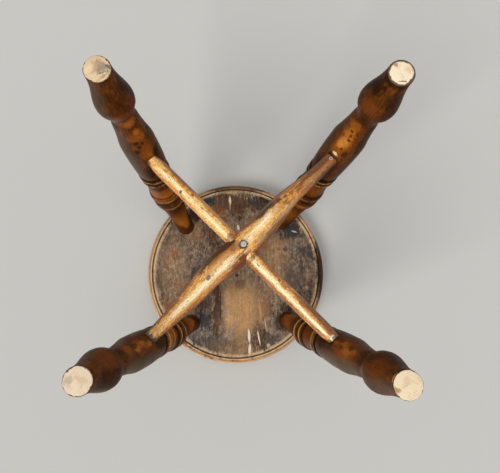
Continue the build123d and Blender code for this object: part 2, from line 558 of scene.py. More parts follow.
    def close(self, surface: bpy.types.Node) -> bpy.types.Material:
        """Ends the material with a surface."""
        self.node("OutputMaterial", {"Surface": surface.outputs[0]})
        return self.material


@dataclass(frozen=True)
class Mark:
    """A worn, stained or scratched spot, or a painted highlight, sheen or shade: a soft ellipsoid, in
    millimetres, in a piece's own frame.
    """

    tint: Tint
    centre: Place
    reach: Place
    strength: float
    turn: float = 0.0
    gritty: bool = False

    def lay(self, bench: Bench, matrix: Matrix, ragged: Socket, grit: Socket, under: Socket) -> Socket:
        """Adds the mark's nodes.

        Args:
            bench: The material's bench.
            matrix: The piece's frame.
            ragged: Noise round zero that breaks up the mark's edge.
            grit: Where a gritty mark covers, from 0 to 1.
            under: Colour that the mark lies on.

        Returns:
            The colour with the mark.
        """
        turned = Matrix.Rotation(math.radians(self.turn), 4, "Z")
        spot = matrix @ Matrix.Translation(point(*self.centre)) @ turned
        far = bench.length(bench.local(spot, tuple(r * MM for r in self.reach)))
        share = bench.rise(bench.plus(far, ragged), *MARK_FADE, self.strength)
        if self.gritty:
            share = bench.times(share, grit)
        return bench.mix(share, under, self.tint.value)


def sole_mark(tint: Tint, x: float, y: float, reach: Pair, strength: float, turn: float = 0.0) -> Mark:
    """A mark on the sole of a leg, by its place and half sizes."""
    return Mark(tint, (x, y, 0), (*reach, SOLE_MARK_DEPTH), strength, turn)


def marks_round(rows: Sequence[MarkRow], radius_at: Callable[[float], float]) -> tuple[Mark, ...]:
    """Marks on the outside of a turned piece.

    Args:
        rows: Tint, station, bearing, half length and half width, and strength of each.
        radius_at: Tells the piece's radius at a station.

    Returns:
        The marks.
    """
    marks = []
    for tint, station, bearing, (length, width), strength in rows:
        radius, turn = radius_at(station), math.radians(bearing)
        centre = (radius * math.cos(turn), radius * math.sin(turn), station)
        marks.append(Mark(tint, centre, (radius * MARK_DEPTH, width, length), strength, bearing))
    return tuple(marks)


def lay_all(
    bench: Bench, matrix: Matrix, marks: Sequence[Mark], ragged: Socket, grit: Socket, under: Socket
) -> Socket:
    """Lays marks in order, each on those before it.

    Args:
        bench: The material's bench.
        matrix: The piece's frame.
        marks: The marks.
        ragged: Noise round zero that breaks up their edges.
        grit: Where gritty marks cover, from 0 to 1.
        under: Colour that they lie on.

    Returns:
        The colour with the marks.
    """
    for mark in marks:
        under = mark.lay(bench, matrix, ragged, grit, under)
    return under


@dataclass(frozen=True)
class LegVarnish:
    """Old dark varnish over turned wood, worn through on the crests and dirty in the hollows."""

    name: str
    matrix: Matrix
    marks: tuple[Mark, ...]
    tones: Stops = (
        (0.36, (0.022, 0.007, 0.0015)), (0.5, (0.076, 0.022, 0.0035)), (0.64, (0.165, 0.047, 0.006)),
    )
    depths: Stops = ((0.32, (0.76, 0.72, 0.66)), (0.52, (1.0, 1.0, 1.0)), (0.72, (1.12, 1.12, 1.12)))
    bare: Colour = (0.60, 0.30, 0.10)
    grime: Colour = (0.008, 0.0035, 0.0018)
    shine: float = 0.038
    sheen: Colour = (1.0, 0.6, 0.3)

    def material(self) -> bpy.types.Material:
        """Builds the material.

        Returns:
            The material.
        """
        bench = Bench(self.name)
        here = bench.local(self.matrix)
        grain = bench.noise(bench.scaled(here, (1, 1, 0.06)), 620, 5, 0.62)
        cloud = bench.noise(bench.scaled(here, (1, 1, 0.5)), 62, 5, 0.62)
        fleck = bench.noise(bench.scaled(here, (1, 1, 0.6)), 380, 3, 0.62)
        ragged = bench.minus(bench.blend((cloud, 2.2), (fleck, 1.3), (grain, 0.7)), 2.1)
        tone = bench.blend((cloud, 0.6), (grain, 0.25), (fleck, 0.15))
        grit = bench.rise(fleck, 0.46, 0.56)
        colour = lay_all(bench, self.matrix, self.marks, ragged, grit, bench.shades(tone, self.tones))
        rubbed = bench.rise(bench.blend((cloud, 0.5), (fleck, 0.5)), 0.4, 0.56)
        worn = bench.times(bench.attribute("crest"), rubbed)
        colour = bench.mix(bench.times(worn, 0.9), colour, self.bare)
        dirty = bench.times(bench.attribute("groove"), bench.rise(cloud, 0.2, 0.5))
        colour = bench.mix(bench.times(dirty, 0.92), colour, self.grime)
        colour = bench.mix(1.0, colour, bench.shades(grain, self.depths), Lay.STAIN)
        colour = bench.mix(bench.rise(fleck, 0.38, 0.29, 0.8), colour, Tint.PITCH.value)
        rough = bench.plus(bench.blend((grain, 0.25), (fleck, 0.35)), 0.12)
        low = bench.bump(bench.blend((cloud, 0.6), (fleck, 0.4)), 0.35, 0.0012)
        return bench.finish(colour, rough, bench.bump(grain, 0.2, 0.0004, low), self.shine, self.sheen)


@dataclass(frozen=True)
class SawnEnd:
    """Sawn end grain with growth rings and a dirty rim."""

    name: str
    matrix: Matrix
    radius: float
    pale: Colour
    mid: Colour = (0.66, 0.48, 0.30)
    dirty: Colour = (0.075, 0.034, 0.014)
    marks: tuple[Mark, ...] = ()
    pith: Place = (25, -16, 0)
    rim: Pair = (-0.6, 0.4)

    def material(self) -> bpy.types.Material:
        """Builds the material.

        Returns:
            The material.
        """
        bench = Bench(self.name)
        here = bench.local(self.matrix)
        cloud = bench.noise(here, 130, 5, 0.65)
        pores = bench.noise(bench.scaled(here, (1, 1, 0.1)), 900, 3, 0.6)
        around = bench.local(self.matrix @ Matrix.Translation(point(*self.pith)))
        waves = {"Vector": around, "Scale": 120.0, "Distortion": 7.0, "Detail Scale": 2.0}
        rings = bench.node("TexWave", waves, wave_type="RINGS", rings_direction="Z").outputs["Fac"]
        tone = bench.blend((rings, 0.06), (cloud, 0.66), (pores, 0.28))
        colour = bench.shades(tone, [(0.32, self.mid), (0.5, self.pale)])
        ragged = bench.minus(bench.blend((cloud, 3.0), (pores, 1.0)), 2.0)
        colour = lay_all(bench, self.matrix, self.marks, ragged, bench.rise(pores, 0.42, 0.55), colour)
        reach = bench.length(bench.scaled(here, (1, 1, 0)))
        edge = bench.plus(reach, bench.times(bench.minus(cloud, 0.5), 0.006))
        inner, outer = ((self.radius + offset) * MM for offset in self.rim)
        colour = bench.mix(bench.rise(edge, inner, outer, 0.94), colour, self.dirty)
        return bench.finish(colour, 0.75, bench.bump(tone, 0.4, 0.0006), 0.2)


@dataclass(frozen=True)
class StretcherWood:
    """Honey-coloured wood polished by feet and hands, with remains of dark finish on its sides. The pale band
    is partly painted light on the lit underside, and the dark sides partly painted shade.
    """

    name: str
    matrix: Matrix
    marks: tuple[Mark, ...]
    tones: Stops
    fleck_depth: float
    # Painted shade: this colour multiplies the bar's sides darker, away from its lit underside.
    side: Colour = (0.68, 0.46, 0.28)
    finish_left_and_side_shade: Stops = (
        (0.38, (0.060, 0.017, 0.0035)), (0.49, (0.21, 0.062, 0.010)), (0.6, (0.40, 0.15, 0.028)),
    )
    depths: Stops = ((0.32, (0.74, 0.62, 0.5)), (0.48, (1.0, 0.99, 0.97)), (0.68, (1.12, 1.12, 1.12)))
    glints: Stops = ((0.36, (0.66, 0.54, 0.42)), (0.5, (0.98, 0.97, 0.95)), (0.64, (1.3, 1.34, 1.42)))
    shine: float = 0.9
    sheen: Colour = (1.0, 0.9, 0.7)

    def material(self) -> bpy.types.Material:
        """Builds the material.

        Returns:
            The material.
        """
        bench = Bench(self.name)
        here = bench.local(self.matrix)
        grain = bench.noise(bench.scaled(here, (1, 1, 0.06)), 560, 6, 0.65)
        cloud = bench.noise(bench.scaled(here, (1, 1, 0.4)), 75, 5, 0.62)
        fleck = bench.noise(bench.scaled(here, (1, 1, 0.5)), 330, 4, 0.65)
        speck = bench.noise(bench.scaled(here, (1, 1, 0.6)), 900, 3, 0.7)
        ragged = bench.minus(bench.blend((cloud, 1.5), (fleck, 1.4), (speck, 0.6), (grain, 0.6)), 2.05)
        tone = bench.blend((cloud, 0.3), (grain, 0.15), (fleck, 0.3), (speck, 0.25))
        grit = bench.rise(fleck, 0.45, 0.55)
        # The worn weight is partly wear and partly painted light: it is highest on the underside that faces
        # the key lamp. Where it is high the bar is painted pale and lit; where it is low the side colour and
        # the dark finish paint the sides in shade.
        polished = bench.blend((bench.attribute("worn"), 1.0), (ragged, 0.28))
        bare = bench.rise(polished, 0.26, 0.6)
        side = bench.rise(polished, 0.98, 0.6, 0.85)
        golden = bench.mix(side, bench.shades(tone, self.tones), self.side, Lay.STAIN)
        colour = bench.mix(bare, bench.shades(tone, self.finish_left_and_side_shade), golden)
        colour = lay_all(bench, self.matrix, self.marks, ragged, grit, colour)
        colour = bench.mix(1.0, colour, bench.shades(grain, self.depths), Lay.STAIN)
        colour = bench.mix(0.8, colour, bench.shades(speck, self.glints), Lay.STAIN)
        colour = bench.mix(bench.rise(fleck, 0.40, 0.31, self.fleck_depth), colour, Tint.RUST.value)
        colour = bench.mix(bench.rise(fleck, 0.34, 0.29, 0.8), colour, Tint.UMBER.value)
        rough = bench.blend((grain, 0.2), (fleck, 0.35), (bench.rise(polished, 0.8, 0.1), 0.45))
        low = bench.bump(bench.blend((cloud, 0.5), (fleck, 0.3), (speck, 0.2)), 0.4, 0.0015)
        return bench.finish(colour, rough, bench.bump(grain, 0.25, 0.0005, low), self.shine, self.sheen)


@dataclass(frozen=True)
class BoardWood:
    """Dry dark board: dirt-grey brown below, blotched and scratched, with a rubbed moulded edge; its edge
    marks add painted shade on the side away from the key lamp and painted highlight on the side towards it.
    """

    name: str
    matrix: Matrix
    marks: tuple[Mark, ...]
    scratches: tuple[Mark, ...]
    edge_marks: tuple[Mark, ...]
    tones: Stops = ((0.37, (0.038, 0.023, 0.015)), (0.47, (0.150, 0.092, 0.057)), (0.6, (0.31, 0.22, 0.145)))
    waxed: Stops = ((0.36, (0.035, 0.012, 0.004)), (0.5, (0.12, 0.042, 0.012)), (0.66, (0.27, 0.11, 0.035)))
    depths: Stops = ((0.36, (0.46, 0.43, 0.40)), (0.5, (0.97, 0.96, 0.95)), (0.64, (1.5, 1.48, 1.44)))
    edge: Stops = ((0.38, (0.13, 0.05, 0.016)), (0.54, (0.46, 0.23, 0.09)))
    crease: Colour = (0.012, 0.007, 0.005)
    arris: Colour = (0.72, 0.50, 0.29)

    def material(self) -> bpy.types.Material:
        """Builds the material.

        Returns:
            The material.
        """
        bench = Bench(self.name)
        here = bench.local(self.matrix)
        grain = bench.noise(bench.scaled(here, (1, 0.08, 1)), 480, 6, 0.68)
        cloud = bench.noise(bench.scaled(here, (1, 0.6, 1)), 42, 7, 0.7)
        fleck = bench.noise(bench.scaled(here, (1, 0.6, 1)), 260, 6, 0.75)
        chips = bench.noise(bench.scaled(here, (1, 0.4, 1)), 620, 4, 0.8)
        ragged = bench.minus(bench.blend((cloud, 1.8), (fleck, 1.9), (grain, 0.9)), 2.3)
        tone = bench.blend((cloud, 0.42), (grain, 0.16), (fleck, 0.42))
        mottle = bench.blend((cloud, 0.5), (fleck, 0.5))
        grit = bench.rise(bench.blend((chips, 0.6), (fleck, 0.4)), 0.52, 0.62)
        colour = lay_all(bench, self.matrix, self.marks, ragged, grit, bench.shades(tone, self.tones))
        top = bench.attribute("top")
        colour = bench.mix(top, colour, bench.shades(tone, self.waxed))
        wear = bench.blend((grain, 0.25), (fleck, 0.45), (chips, 0.3))
        colour = bench.mix(1.0, colour, bench.shades(wear, self.depths), Lay.STAIN)
        specks = bench.times(bench.rise(chips, 0.62, 0.74), bench.minus(1.0, top))
        colour = bench.mix(bench.times(specks, 0.6), colour, Tint.FAWN.value)
        scratched = bench.minus(bench.blend((fleck, 1.4), (grain, 1.2)), 1.3)
        colour = lay_all(bench, self.matrix, self.scratches, scratched, grit, colour)
        colour = bench.mix(bench.attribute("rim"), colour, bench.shades(mottle, self.edge))
        colour = bench.mix(bench.attribute("crease"), colour, self.crease)
        rubbed = bench.times(bench.attribute("arris"), bench.rise(mottle, 0.38, 0.52))
        colour = bench.mix(bench.times(rubbed, 0.9), colour, self.arris)
        # The edge marks hold painted shade and painted highlight on the rim.
        colour = lay_all(bench, self.matrix, self.edge_marks, scratched, grit, colour)
        rough = bench.minus(bench.plus(bench.times(fleck, 0.3), 0.4), bench.times(top, 0.15))
        low = bench.bump(tone, 0.4, 0.0012)
        return bench.finish(colour, rough, bench.bump(grain, 0.4, 0.0005, low), 0.14)


@dataclass(frozen=True)
class NailIron:
    """Old iron, rubbed bright where it stands proud."""

    name: str
    bright: Colour = (0.62, 0.59, 0.52)
    dull: Colour = (0.09, 0.075, 0.06)

    def material(self) -> bpy.types.Material:
        """Builds the material.

        Returns:
            The material.
        """
        bench = Bench(self.name)
        fine = bench.noise(bench.coordinates(), 750, 5, 0.65)
        tone = bench.blend((fine, 0.6), (bench.attribute("crown"), 0.4))
        colour = bench.shades(tone, [(0.42, self.dull), (0.72, self.bright)])
        rough = bench.plus(bench.times(fine, 0.3), 0.35)
        return bench.finish(colour, rough, bench.bump(fine, 0.7, 0.0006), 0.5, metal=0.3)


# ------------------------------------------------------------------------------------------ joints
@dataclass(frozen=True)
class Joint:
    """The line of a stretcher, from the end of one tenon to the end of the other, and the tenons' radius."""

    start: Place
    end: Place
    tenon: float
    socket_depth: float = 70.0
    slack: float = 0.1

    @property
    def matrix(self) -> Matrix:
        """Frame of the stretcher: Z along it from its middle, X level, Y down."""
        start, end = point(*self.start), point(*self.end)
        return frame_matrix((start + end) / 2, end - start)

    @property
    def half(self) -> float:
        """Half its length, in millimetres."""
        return (Vector(self.end) - Vector(self.start)).length / 2

    def borer(self, radius: float, low: float, high: float) -> Shell:
        """Round cutter along the stretcher.

        Args:
            radius: Radius of the hole.
            low: Distance from the middle where it starts.
            high: Distance from the middle where it ends.

        Returns:
            The closed shell.
        """
        return spin([(0, low), (radius, low), (radius, high), (0, high)], CUTTER_SEGMENTS, self.matrix)

    def socket(self, at_start: bool) -> Shell:
        """Cutter for the hole that a tenon sits in.

        Args:
            at_start: Whether it is the tenon at the start of the line.

        Returns:
            The closed shell.
        """
        inner = self.half - self.socket_depth
        low, high = (-self.half, -inner) if at_start else (inner, self.half)
        return self.borer(self.tenon + self.slack, low, high)


MAIN_JOINT = Joint((-119.4, 117.2, 172.6), (122.0, -123.5, 165.6), 8.0)
CROSS_JOINT = Joint((-120.5, -119.3, 165.0), (120.5, 119.4, 168.0), 7.2)
CROSS_BORE = 9.05  # Radius of the main bar's hole for the cross one.
CROSS_BORE_REACH = 30.0  # How far its cutter reaches either way from the crossing.


# -------------------------------------------------------------------------------------------- legs
@dataclass
class TurnedLeg:
    """One leg: foot, bulb, neck, baluster, two pairs of rings and a plain tapered top.

    The crests and grooves are the stations that wear bright and stay dirty. The wedge's slot is given by
    its half length and, at its mouth and its root, by its height over the seat's top and its half width.
    """

    name: str
    foot: Pair
    head: Pair
    slip: float
    seed: int
    joint: Joint
    at_start: bool
    marks: tuple[MarkRow, ...]
    foot_marks: tuple[Mark, ...]
    bare_radius: float
    bare_wood: Colour
    tenon_radius: float = 12.0
    crests: tuple[float, ...] = (239.5, 250.5, 302.0, 326.5)
    grooves: tuple[float, ...] = (234.0, 245.0, 257.5, 292.5, 312.5, 341.5)
    sole_bevel: float = 0.8
    slot_reach: float = 20.0
    slot_mouth: Pair = (3.0, 2.04)
    slot_root: Pair = (-22.05, 0.45)
    segments: int = 112

    @property
    def matrix(self) -> Matrix:
        """Frame of the leg: Z up the leg from the floor, Y towards the stool's middle."""
        foot = point(*self.foot, 0)
        return frame_matrix(foot, point(*self.head, SEAT_UNDERSIDE) - foot)

    @property
    def tip(self) -> Matrix:
        """Frame of the leg's end in the seat's top."""
        return self.matrix @ Matrix.Translation(point(0, 0, LEG_TIP))

    def outline(self) -> Profile:
        """Half section of the leg.

        Returns:
            Its points, in millimetres, from below the floor to above the seat.
        """
        body = [
            *flow([(14.3, -8), (14.3, 5), (15.2, 17), (17.4, 30), (20.2, 43), (21.8, 53), (21.9, 60)], 2),
            *flow([(21.9, 60), (20.9, 66), (18.0, 73), (15.7, 80), (14.5, 86.5)], 1.5),
            *flow([(14.5, 86.5), (15.8, 95), (16.9, 110), (18.5, 126), (20.3, 139), (21.2, 147)], 2),
            *flow([(21.2, 147), (21.4, 160), (21.5, 184), (21.1, 205), (20.2, 228), (19.6, 233)], 4),
            (18.7, 234.0),
            *bow((19.4, 234.8), (18.9, 244.2), 1.6, 9),
            (18.1, 245.0),
            *bow((18.9, 245.8), (18.5, 256.6), 1.8, 9),
            (17.7, 257.5),
            *flow([(18.2, 258.5), (18.2, 265), (18.5, 275), (19.2, 285), (19.8, 291.5)], 2),
            (18.7, 292.5),
            *bow((19.6, 293.3), (19.5, 311.4), 1.7, 12),
            (18.3, 312.5),
            *bow((19.3, 313.5), (17.6, 340.8), 2.5, 14),
            (16.6, 341.8),
            *flow([(17.2, 343), (16.6, 352), (15.6, 363), (14.8, 375), (14.1, 388)], 3),
            *flow([(14.1, 388), (12.5, 444), (11.2, 490)], 8),
        ]
        moved = [(radius, station + self.slip * self.share(station)) for radius, station in body]
        return [(0.0, moved[0][1]), *moved, (0.0, moved[-1][1])]

    @staticmethod
    def share(station: float) -> float:
        """How much of the leg's slip a station takes: none to the shoulder, all of it at the rings."""
        return ramp(station, 148, 235) * (1 - ramp(station, 380, 470))

    def radius(self, station: float) -> float:
        """Radius of the leg at a station."""
        return min(self.outline()[1:-1], key=lambda place: abs(place[1] - station))[0]

    def build(self) -> bpy.types.Object:
        """Turns the leg, wears it, sets it in place and cuts its socket and the slot of its wedge.

        Returns:
            The leg.
        """
        shell = spin(self.outline(), self.segments)
        crest = shell.verts.layers.float.new("crest")
        groove = shell.verts.layers.float.new("groove")
        for vert in shell.verts:
            station = vert.co.z / MM
            station -= self.slip * self.share(station)
            vert[crest] = min(sum(bell(station, place, 1.5) for place in self.crests), 1.0)
            vert[groove] = min(sum(bell(station, place, 1.3) for place in self.grooves), 1.0)
        self.wear_down(shell)
        bmesh.ops.transform(shell, matrix=self.matrix, verts=shell.verts)
        sole = saw(shell, 0.0, keep_above=True, material=1)
        rim = list({edge for face in sole for edge in face.edges})
        bmesh.ops.bevel(
            shell, geom=rim, offset=self.sole_bevel * MM, segments=3, profile=0.5, affect="EDGES", material=-1
        )
        saw(shell, STOOL_HEIGHT * MM, keep_above=False, material=2)
        piece = as_piece(shell, f"turned_leg_{self.name}", self.finishes())
        cut_away(piece, [self.joint.socket(self.at_start), self.wedge_slot()])
        place(piece, Slot.LEG, f"leg_{self.name}")
        return piece

    def wear_down(self, shell: Shell) -> None:
        """Makes the turning slightly uneven and dented, as hand work and long use leave it.

        Args:
            shell: The leg, in its own frame.
        """
        for vert in shell.verts:
            across = Vector((vert.co.x, vert.co.y, 0))
            if across.length < ON_AXIS:
                continue
            swell = unevenness(vert.co, 0.05, self.seed) * 0.22 + unevenness(vert.co, 0.014, self.seed) * 0.1
            dent = dents(vert.co, 0.009, self.seed + 30, 0.42, 2.2)
            ankle = dents(vert.co, 0.006, self.seed + 60, 0.0, 0.5) * ramp(-vert.co.z / MM, -7, -1)
            vert.co -= across.normalized() * (0.2 + swell + dent + ankle) * MM

    def finishes(self) -> list[bpy.types.Material]:
        """The leg's finishes.

        Returns:
            The varnish, the bare sole and the tenon's end in the seat's top.
        """
        varnish = LegVarnish(f"leg_varnish_{self.name}", self.matrix, marks_round(self.marks, self.radius))
        sole = SawnEnd(
            f"leg_sole_{self.name}", self.matrix, self.bare_radius, self.bare_wood, marks=self.foot_marks
        )
        tenon = SawnEnd(f"leg_tenon_{self.name}", self.tip, self.tenon_radius, **WAXED_TENON)
        return [finish.material() for finish in (varnish, sole, tenon)]

    def wedge_slot(self) -> Shell:
        """Cutter for the slot that the wedge spreads, tapered downwards and a hair wider than the wedge.

        Returns:
            The closed shell.
        """
        foot, head = point(*self.foot, 0), point(*self.head, SEAT_UNDERSIDE)
        top = foot.lerp(head, STOOL_HEIGHT / SEAT_UNDERSIDE)
        cutter = bmesh.new()
        bmesh.ops.create_cube(cutter, size=1.0)
        for vert in cutter.verts:
            height, half = self.slot_mouth if vert.co.z > 0 else self.slot_root
            corner = (math.copysign(self.slot_reach, vert.co.x), math.copysign(half, vert.co.y), height)
            vert.co = top + point(*corner)
        return cutter

    def mortise(self) -> Shell:
        """Cutter for the tapered hole in the seat, a hair wider than the leg."""
        return spin([(0, 415), (13.5, 415), (11.3, 490), (0, 490)], CUTTER_SEGMENTS, self.matrix)


def legs() -> list[TurnedLeg]:
    """The legs, each with its own place, slip of its rings, wear, and painted sheen and shade along its
    flanks.

    Returns:
        The four legs.
    """
    t = Tint
    return [
        TurnedLeg(
            "front_left", (-145.5, -151.3), (-79.9, -73.8), -6.0, 1, CROSS_JOINT, True,
            (
                (t.RED_BROWN, 66, 100, (9, 26), 0.75), (t.UMBER, 30, 50, (22, 12), 0.8),
                (t.RUST, 88, 100, (9, 10), 0.9), (t.AMBER, 89, 96, (4, 5), 0.5),
                (t.RUST, 116, 96, (14, 11), 0.9), (t.AMBER, 108, 92, (7, 5), 0.7),
                (t.AMBER, 121, 84, (4, 4), 0.5), (t.RUST, 150, 88, (24, 11), 0.75),
                (t.AMBER, 158, 84, (9, 5), 0.4), (t.RED_BROWN, 134, 104, (12, 10), 0.6),
                (t.PITCH, 126, 112, (4, 3), 0.85), (t.PITCH, 135, 108, (3, 3), 0.8),
                (t.PITCH, 142, 118, (5, 4), 0.8), (t.PITCH, 131, 92, (2.5, 2), 0.7),
                (t.PITCH, 162, 58, (13, 9), 0.95), (t.PITCH, 200, 110, (22, 12), 0.7),
                (t.UMBER, 170, 150, (50, 10), 0.6), (t.RUST, 278, 110, (16, 26), 0.9),
                (t.AMBER, 282, 95, (7, 12), 0.5), (t.RUST, 385, 90, (32, 20), 0.95),
                (t.AMBER, 400, 88, (18, 9), 0.7), (t.PITCH, 405, 40, (30, 7), 0.8),
                # OLIVE marks at bearings 165 and 168 are painted sheen on the leg's flank, and PITCH marks at
                # bearings 12 and 30 painted shade on its other flank.
                (t.OLIVE, 165, 168, (75, 10), 0.7), (t.OLIVE, 40, 165, (30, 11), 0.6),
                (t.PITCH, 130, 12, (55, 9), 0.6), (t.PITCH, 30, 30, (25, 9), 0.6),
            ),
            (
                sole_mark(t.TAN, 2, -2, (10, 6), 0.55), sole_mark(t.ASH, 5, 3, (7, 7), 0.8),
                sole_mark(t.UMBER, 2, 6, (7, 1.2), 0.5, 20), sole_mark(t.CREAM, -5, -5, (6, 4), 0.5),
                sole_mark(t.TAN, 1, 9.5, (9, 2), 0.6), sole_mark(t.UMBER, 10, 5, (2.5, 3.5), 0.6),
            ),
            13.3, (0.76, 0.57, 0.35),
        ),
        TurnedLeg(
            "front_right", (153.4, -151.1), (71.4, -82.4), 2.0, 2, MAIN_JOINT, False,
            (
                (t.RED_BROWN, 48, 88, (12, 12), 0.85), (t.PITCH, 20, 110, (14, 10), 0.8),
                (t.RUST, 100, 92, (10, 11), 0.9), (t.RUST, 140, 84, (34, 14), 0.9),
                (t.AMBER, 116, 92, (15, 10), 0.85), (t.AMBER, 134, 86, (15, 9), 0.95),
                (t.ORANGE, 134, 86, (11, 6), 0.8), (t.AMBER, 152, 78, (8, 4), 0.4),
                (t.PITCH, 108, 88, (2.4, 2.6), 0.85), (t.UMBER, 115, 78, (3, 2), 0.8),
                (t.PITCH, 124, 74, (2.6, 2.2), 0.8), (t.UMBER, 122, 104, (4, 2), 0.7),
                (t.PITCH, 143, 76, (3, 2), 0.8), (t.UMBER, 160, 90, (6, 4), 0.8),
                (t.PITCH, 168, 94, (6, 4), 0.85), (t.UMBER, 172, 74, (10, 5), 0.7),
                (t.PITCH, 150, 58, (9, 4), 0.7), (t.UMBER, 150, 125, (45, 8), 0.7),
                # Painted glint beside the end nail's head.
                (t.CREAM, 158.5, 82, (4.2, 5), 0.95),
                (t.PITCH, 240, 50, (12, 10), 0.8), (t.RUST, 275, 60, (15, 20), 0.7),
                (t.RUST, 380, 90, (30, 18), 0.8), (t.AMBER, 330, 60, (9, 12), 0.5),
                # The OLIVE mark at bearing 168 is painted sheen on the leg's flank, and the PITCH marks at
                # bearings 12, 15 and 165 painted shade on its flanks.
                (t.OLIVE, 130, 168, (60, 9), 0.5), (t.PITCH, 120, 12, (60, 8), 0.6),
                (t.PITCH, 45, 165, (30, 9), 0.6), (t.PITCH, 45, 15, (30, 9), 0.5),
                (t.PITCH, 6, 90, (6, 30), 0.7),
            ),
            (
                sole_mark(t.TAN, -9.8, -1.0, (2.2, 2.2), 0.8),
                sole_mark(t.RED_BROWN, 6.7, 5.4, (6, 0.8), 0.85, -49),
                sole_mark(t.FAWN, 2, -7, (6, 2), 0.3, -49),
            ),
            11.8, (0.95, 0.80, 0.56),
        ),
        TurnedLeg(
            "back_left", (-153.5, 146.1), (-69.3, 76.9), 0.0, 3, MAIN_JOINT, True,
            (
                (t.RED_BROWN, 40, 78, (16, 16), 0.7), (t.UMBER, 62, 95, (10, 22), 0.6),
                (t.RUST, 108, 84, (10, 9), 0.7), (t.RUST, 140, 92, (26, 10), 0.8),
                (t.AMBER, 128, 96, (8, 4), 0.75), (t.AMBER, 146, 84, (8, 4), 0.75),
                (t.AMBER, 164, 98, (9, 4.5), 0.7), (t.PITCH, 124, 82, (8, 4), 0.7),
                (t.UMBER, 150, 74, (10, 4), 0.8), (t.UMBER, 140, 108, (9, 3), 0.7),
                (t.PITCH, 158, 86, (4, 3), 0.7),
                # The ASH mark at bearing 158 is painted sheen on the leg's flank.
                (t.ASH, 128, 158, (30, 7), 0.45), (t.PITCH, 190, 92, (14, 16), 0.9),
                (t.PITCH, 215, 100, (18, 18), 0.8), (t.HONEY, 248, 118, (2.5, 14), 0.8),
                (t.RUST, 272, 100, (12, 16), 0.8), (t.ORANGE, 264, 120, (1.6, 12), 0.7),
                (t.ORANGE, 276, 112, (1.8, 14), 0.7), (t.HONEY, 302, 110, (3, 14), 0.7),
                (t.HONEY, 326, 106, (3, 12), 0.6), (t.RUST, 385, 92, (26, 16), 0.9),
                # OLIVE marks at bearings 15 and 152 are painted sheen on the leg's flanks, and the PITCH mark
                # at bearing 150 painted shade.
                (t.AMBER, 402, 88, (12, 8), 0.6), (t.OLIVE, 128, 152, (36, 10), 0.9),
                (t.OLIVE, 35, 15, (26, 11), 0.7), (t.OLIVE, 125, 15, (34, 8), 0.6),
                (t.PITCH, 40, 150, (28, 12), 0.5),
            ),
            (sole_mark(t.FAWN, -3, 4, (7, 5), 0.35), sole_mark(t.ASH, 6, -5, (5, 5), 0.45)),
            13.2, (0.82, 0.65, 0.47),
        ),
        TurnedLeg(
            "back_right", (148.0, 151.4), (76.7, 72.9), 0.0, 14, CROSS_JOINT, False,
            (
                (t.RED_BROWN, 34, 72, (16, 16), 0.7), (t.RUST, 80, 28, (4, 5), 0.9),
                (t.RUST, 132, 80, (34, 15), 0.8), (t.AMBER, 112, 84, (8, 4), 0.5),
                (t.AMBER, 126, 70, (9, 4), 0.55), (t.AMBER, 140, 90, (10, 4), 0.5),
                (t.AMBER, 158, 80, (8, 3.5), 0.45), (t.PITCH, 142, 74, (5, 4), 0.6),
                (t.UMBER, 120, 94, (6, 4), 0.7), (t.UMBER, 150, 96, (8, 4), 0.7),
                (t.PITCH, 172, 76, (8, 6), 0.6), (t.UMBER, 150, 140, (50, 12), 0.7),
                # Painted shadow in the groove below the first rings, on the leg's flank.
                (t.PITCH, 238, 16, (8, 12), 0.97),
                (t.PITCH, 205, 70, (16, 16), 0.6), (t.RED_BROWN, 275, 80, (16, 22), 0.9),
                (t.AMBER, 247, 70, (3, 16), 0.7), (t.HONEY, 303, 75, (4, 22), 0.8),
                (t.HONEY, 326, 75, (5, 22), 0.85), (t.PITCH, 312, 75, (2.5, 22), 0.8),
                (t.RUST, 395, 90, (32, 18), 0.95), (t.AMBER, 408, 100, (12, 9), 0.6),
                # OLIVE marks at bearings 15 and 160 are painted sheen on the leg's flanks, and the PITCH mark
                # at bearing 152 painted shade.
                (t.HONEY, 5.5, 67, (1.4, 6), 0.9), (t.OLIVE, 150, 15, (62, 10), 0.8),
                (t.OLIVE, 36, 15, (28, 9), 0.5), (t.PITCH, 36, 152, (28, 12), 0.6),
                (t.OLIVE, 130, 160, (50, 12), 0.6),
            ),
            (sole_mark(t.TAN, 11, 3.6, (3, 4), 0.8), sole_mark(t.FAWN, -2, 4, (6, 5), 0.3)),
            13.9, (0.88, 0.71, 0.48),
        ),
    ]


